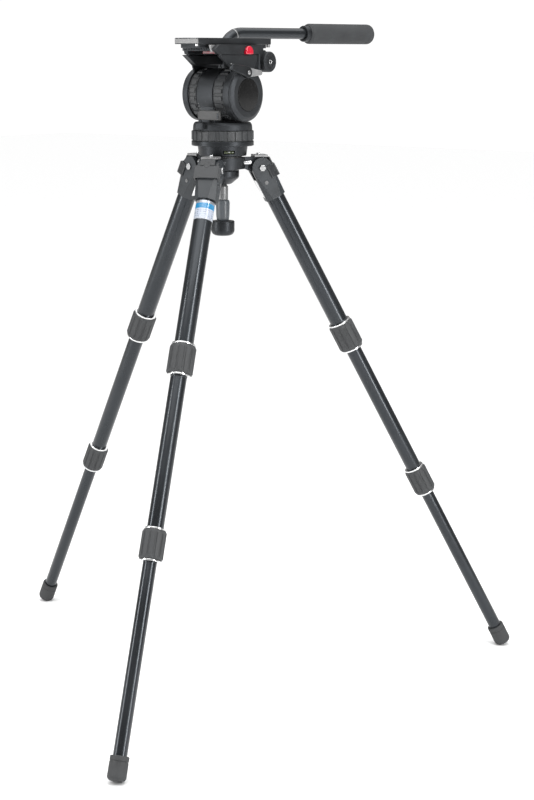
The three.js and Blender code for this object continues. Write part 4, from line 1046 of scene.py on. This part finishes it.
clampPlace = shifted(tiltAcross, (clampPoint[1], clampPoint[2], 0))
outline = softened(wallOutline(clamp["bore"], clamp["radius"], clamp["outer"], clamp["inner"]), 1.4)
castPart(turned("clamp.disc", outline, clampPlace, 96), "handle", "handle_clamp")
bore, radius, length = clamp["socketBore"], clamp["socket"], clamp["length"]
outline = softened([(bore, 10), (radius, 8), (radius, length), (bore, length)], 1)
castPart(turned("clamp.socket", outline, alongPlace(clampPoint, rise), 64), "handle")


def lobeRipple(angle, radius, height):
    # finger lobes: depth times one less the cosine of six times the angle
    return (radius > 8) * knob["depth"] * (1 - np.cos(knob["lobes"] * angle))


radius, start, bolt = knob["radius"] + knob["depth"], knob["start"], knob["bolt"]
end = start - knob["length"]
outline = [(0, end), (radius - 2, end), (radius, end + 3), (radius, start), (bolt, start),
           (bolt, knob["boltEnd"]), (0, knob["boltEnd"])]
piece = turned("clamp.knob", softened(outline, 0.8, False), clampPlace, 96, lobeRipple, 45)
fit(piece, castDark, "black_cast", "clamp_knob", "clamp_knob")

foam = {"radius": 17.1, "throat": 14.6, "slope": 3.5, "edge": 9, "bore": 9.3, "collar": 13.4,
        "collarLength": 9}
radius, edge, step, length = foam["radius"], foam["edge"], foam["collarLength"], bar["grip"]
outline = np.vstack([
    [(0, step)],
    softened([(foam["throat"], step), (radius, step + foam["slope"]), (radius, length - edge)], 1.5, False),
    arc((radius - edge, length - edge), edge, 4, 90, 12),
    [(0, length)],
])
grip = turned("grip.foam", outline, alongPlace(gripStart, run), 80)
fit(grip, gripFoam, "grey_rubber", "handle", "hand_grip")
bore, radius = foam["bore"], foam["collar"]
outline = softened([(bore, 0.2), (radius, 0.2), (radius + 0.6, step), (bore, step)], 0.8)
piece = turned("grip.collar", outline, alongPlace(gripStart, run), 64)
fit(piece, castDark, "grey_rubber", "handle")
print("pan bar made")


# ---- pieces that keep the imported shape: they are inside others

for node, material in (("half_ball", satinMetal), ("tilt_axle", steel)):
    for slot in frame["nodes"][node].material_slots:
        slot.material = material


# ---- floor and light

floorSize = 14
floorMesh = bpy.data.meshes.new("floor")
corners = [(x * floorSize, y * floorSize, 0) for x, y in ((-1, -1), (1, -1), (1, 1), (-1, 1))]
floorMesh.from_pydata(corners, [], [(0, 1, 2, 3)])
floor = bpy.data.objects.new("floor", floorMesh)
floor.data.materials.append(paper())
bpy.context.scene.collection.objects.link(floor)

# the eye sees a white backdrop, while the pieces are lit by a dimmer one
backdrop = {"seen": 1.05, "lighting": 0.24}
world = bpy.data.worlds.new("studio")
world.use_nodes = True
sky = world.node_tree
seen = sky.nodes["Background"]
lighting = sky.nodes.new("ShaderNodeBackground")
for node, strength in ((seen, backdrop["seen"]), (lighting, backdrop["lighting"])):
    node.inputs["Color"].default_value = (1, 1, 1, 1)
    node.inputs["Strength"].default_value = strength
ray = sky.nodes.new("ShaderNodeLightPath")
choice = sky.nodes.new("ShaderNodeMixShader")
sky.links.new(ray.outputs["Is Camera Ray"], choice.inputs[0])
sky.links.new(lighting.outputs[0], choice.inputs[1])
sky.links.new(seen.outputs[0], choice.inputs[2])
sky.links.new(choice.outputs[0], sky.nodes["World Output"].inputs[0])
bpy.context.scene.world = world
bpy.context.scene.view_settings.view_transform = "Standard"

aim = Vector((-0.09, -0.04, 0.6))
lamps = [
    ("strip left", (-1.9, -3.0, 1.3), (0.45, 3.0), 70),
    ("strip right", (3.1, -0.2, 1.4), (0.5, 3.0), 80),
    ("overhead", (0.4, -0.9, 3.2), (2.6, 2.6), 40),
]
for name, spot, size, power in lamps:
    lamp = bpy.data.lights.new(name, "AREA")
    lamp.shape = "RECTANGLE"
    lamp.size, lamp.size_y = size
    lamp.energy = power
    holder = bpy.data.objects.new(name, lamp)
    holder.location = spot
    holder.rotation_euler = (aim - Vector(spot)).to_track_quat("-Z", "Y").to_euler()
    bpy.context.scene.collection.objects.link(holder)
skyLight = {"energy": 2.9, "angle": 100}
sun = bpy.data.lights.new("sky light", "SUN")
sun.energy, sun.angle = skyLight["energy"], math.radians(skyLight["angle"])
holder = bpy.data.objects.new("sky light", sun)
bpy.context.scene.collection.objects.link(holder)
print("light made")
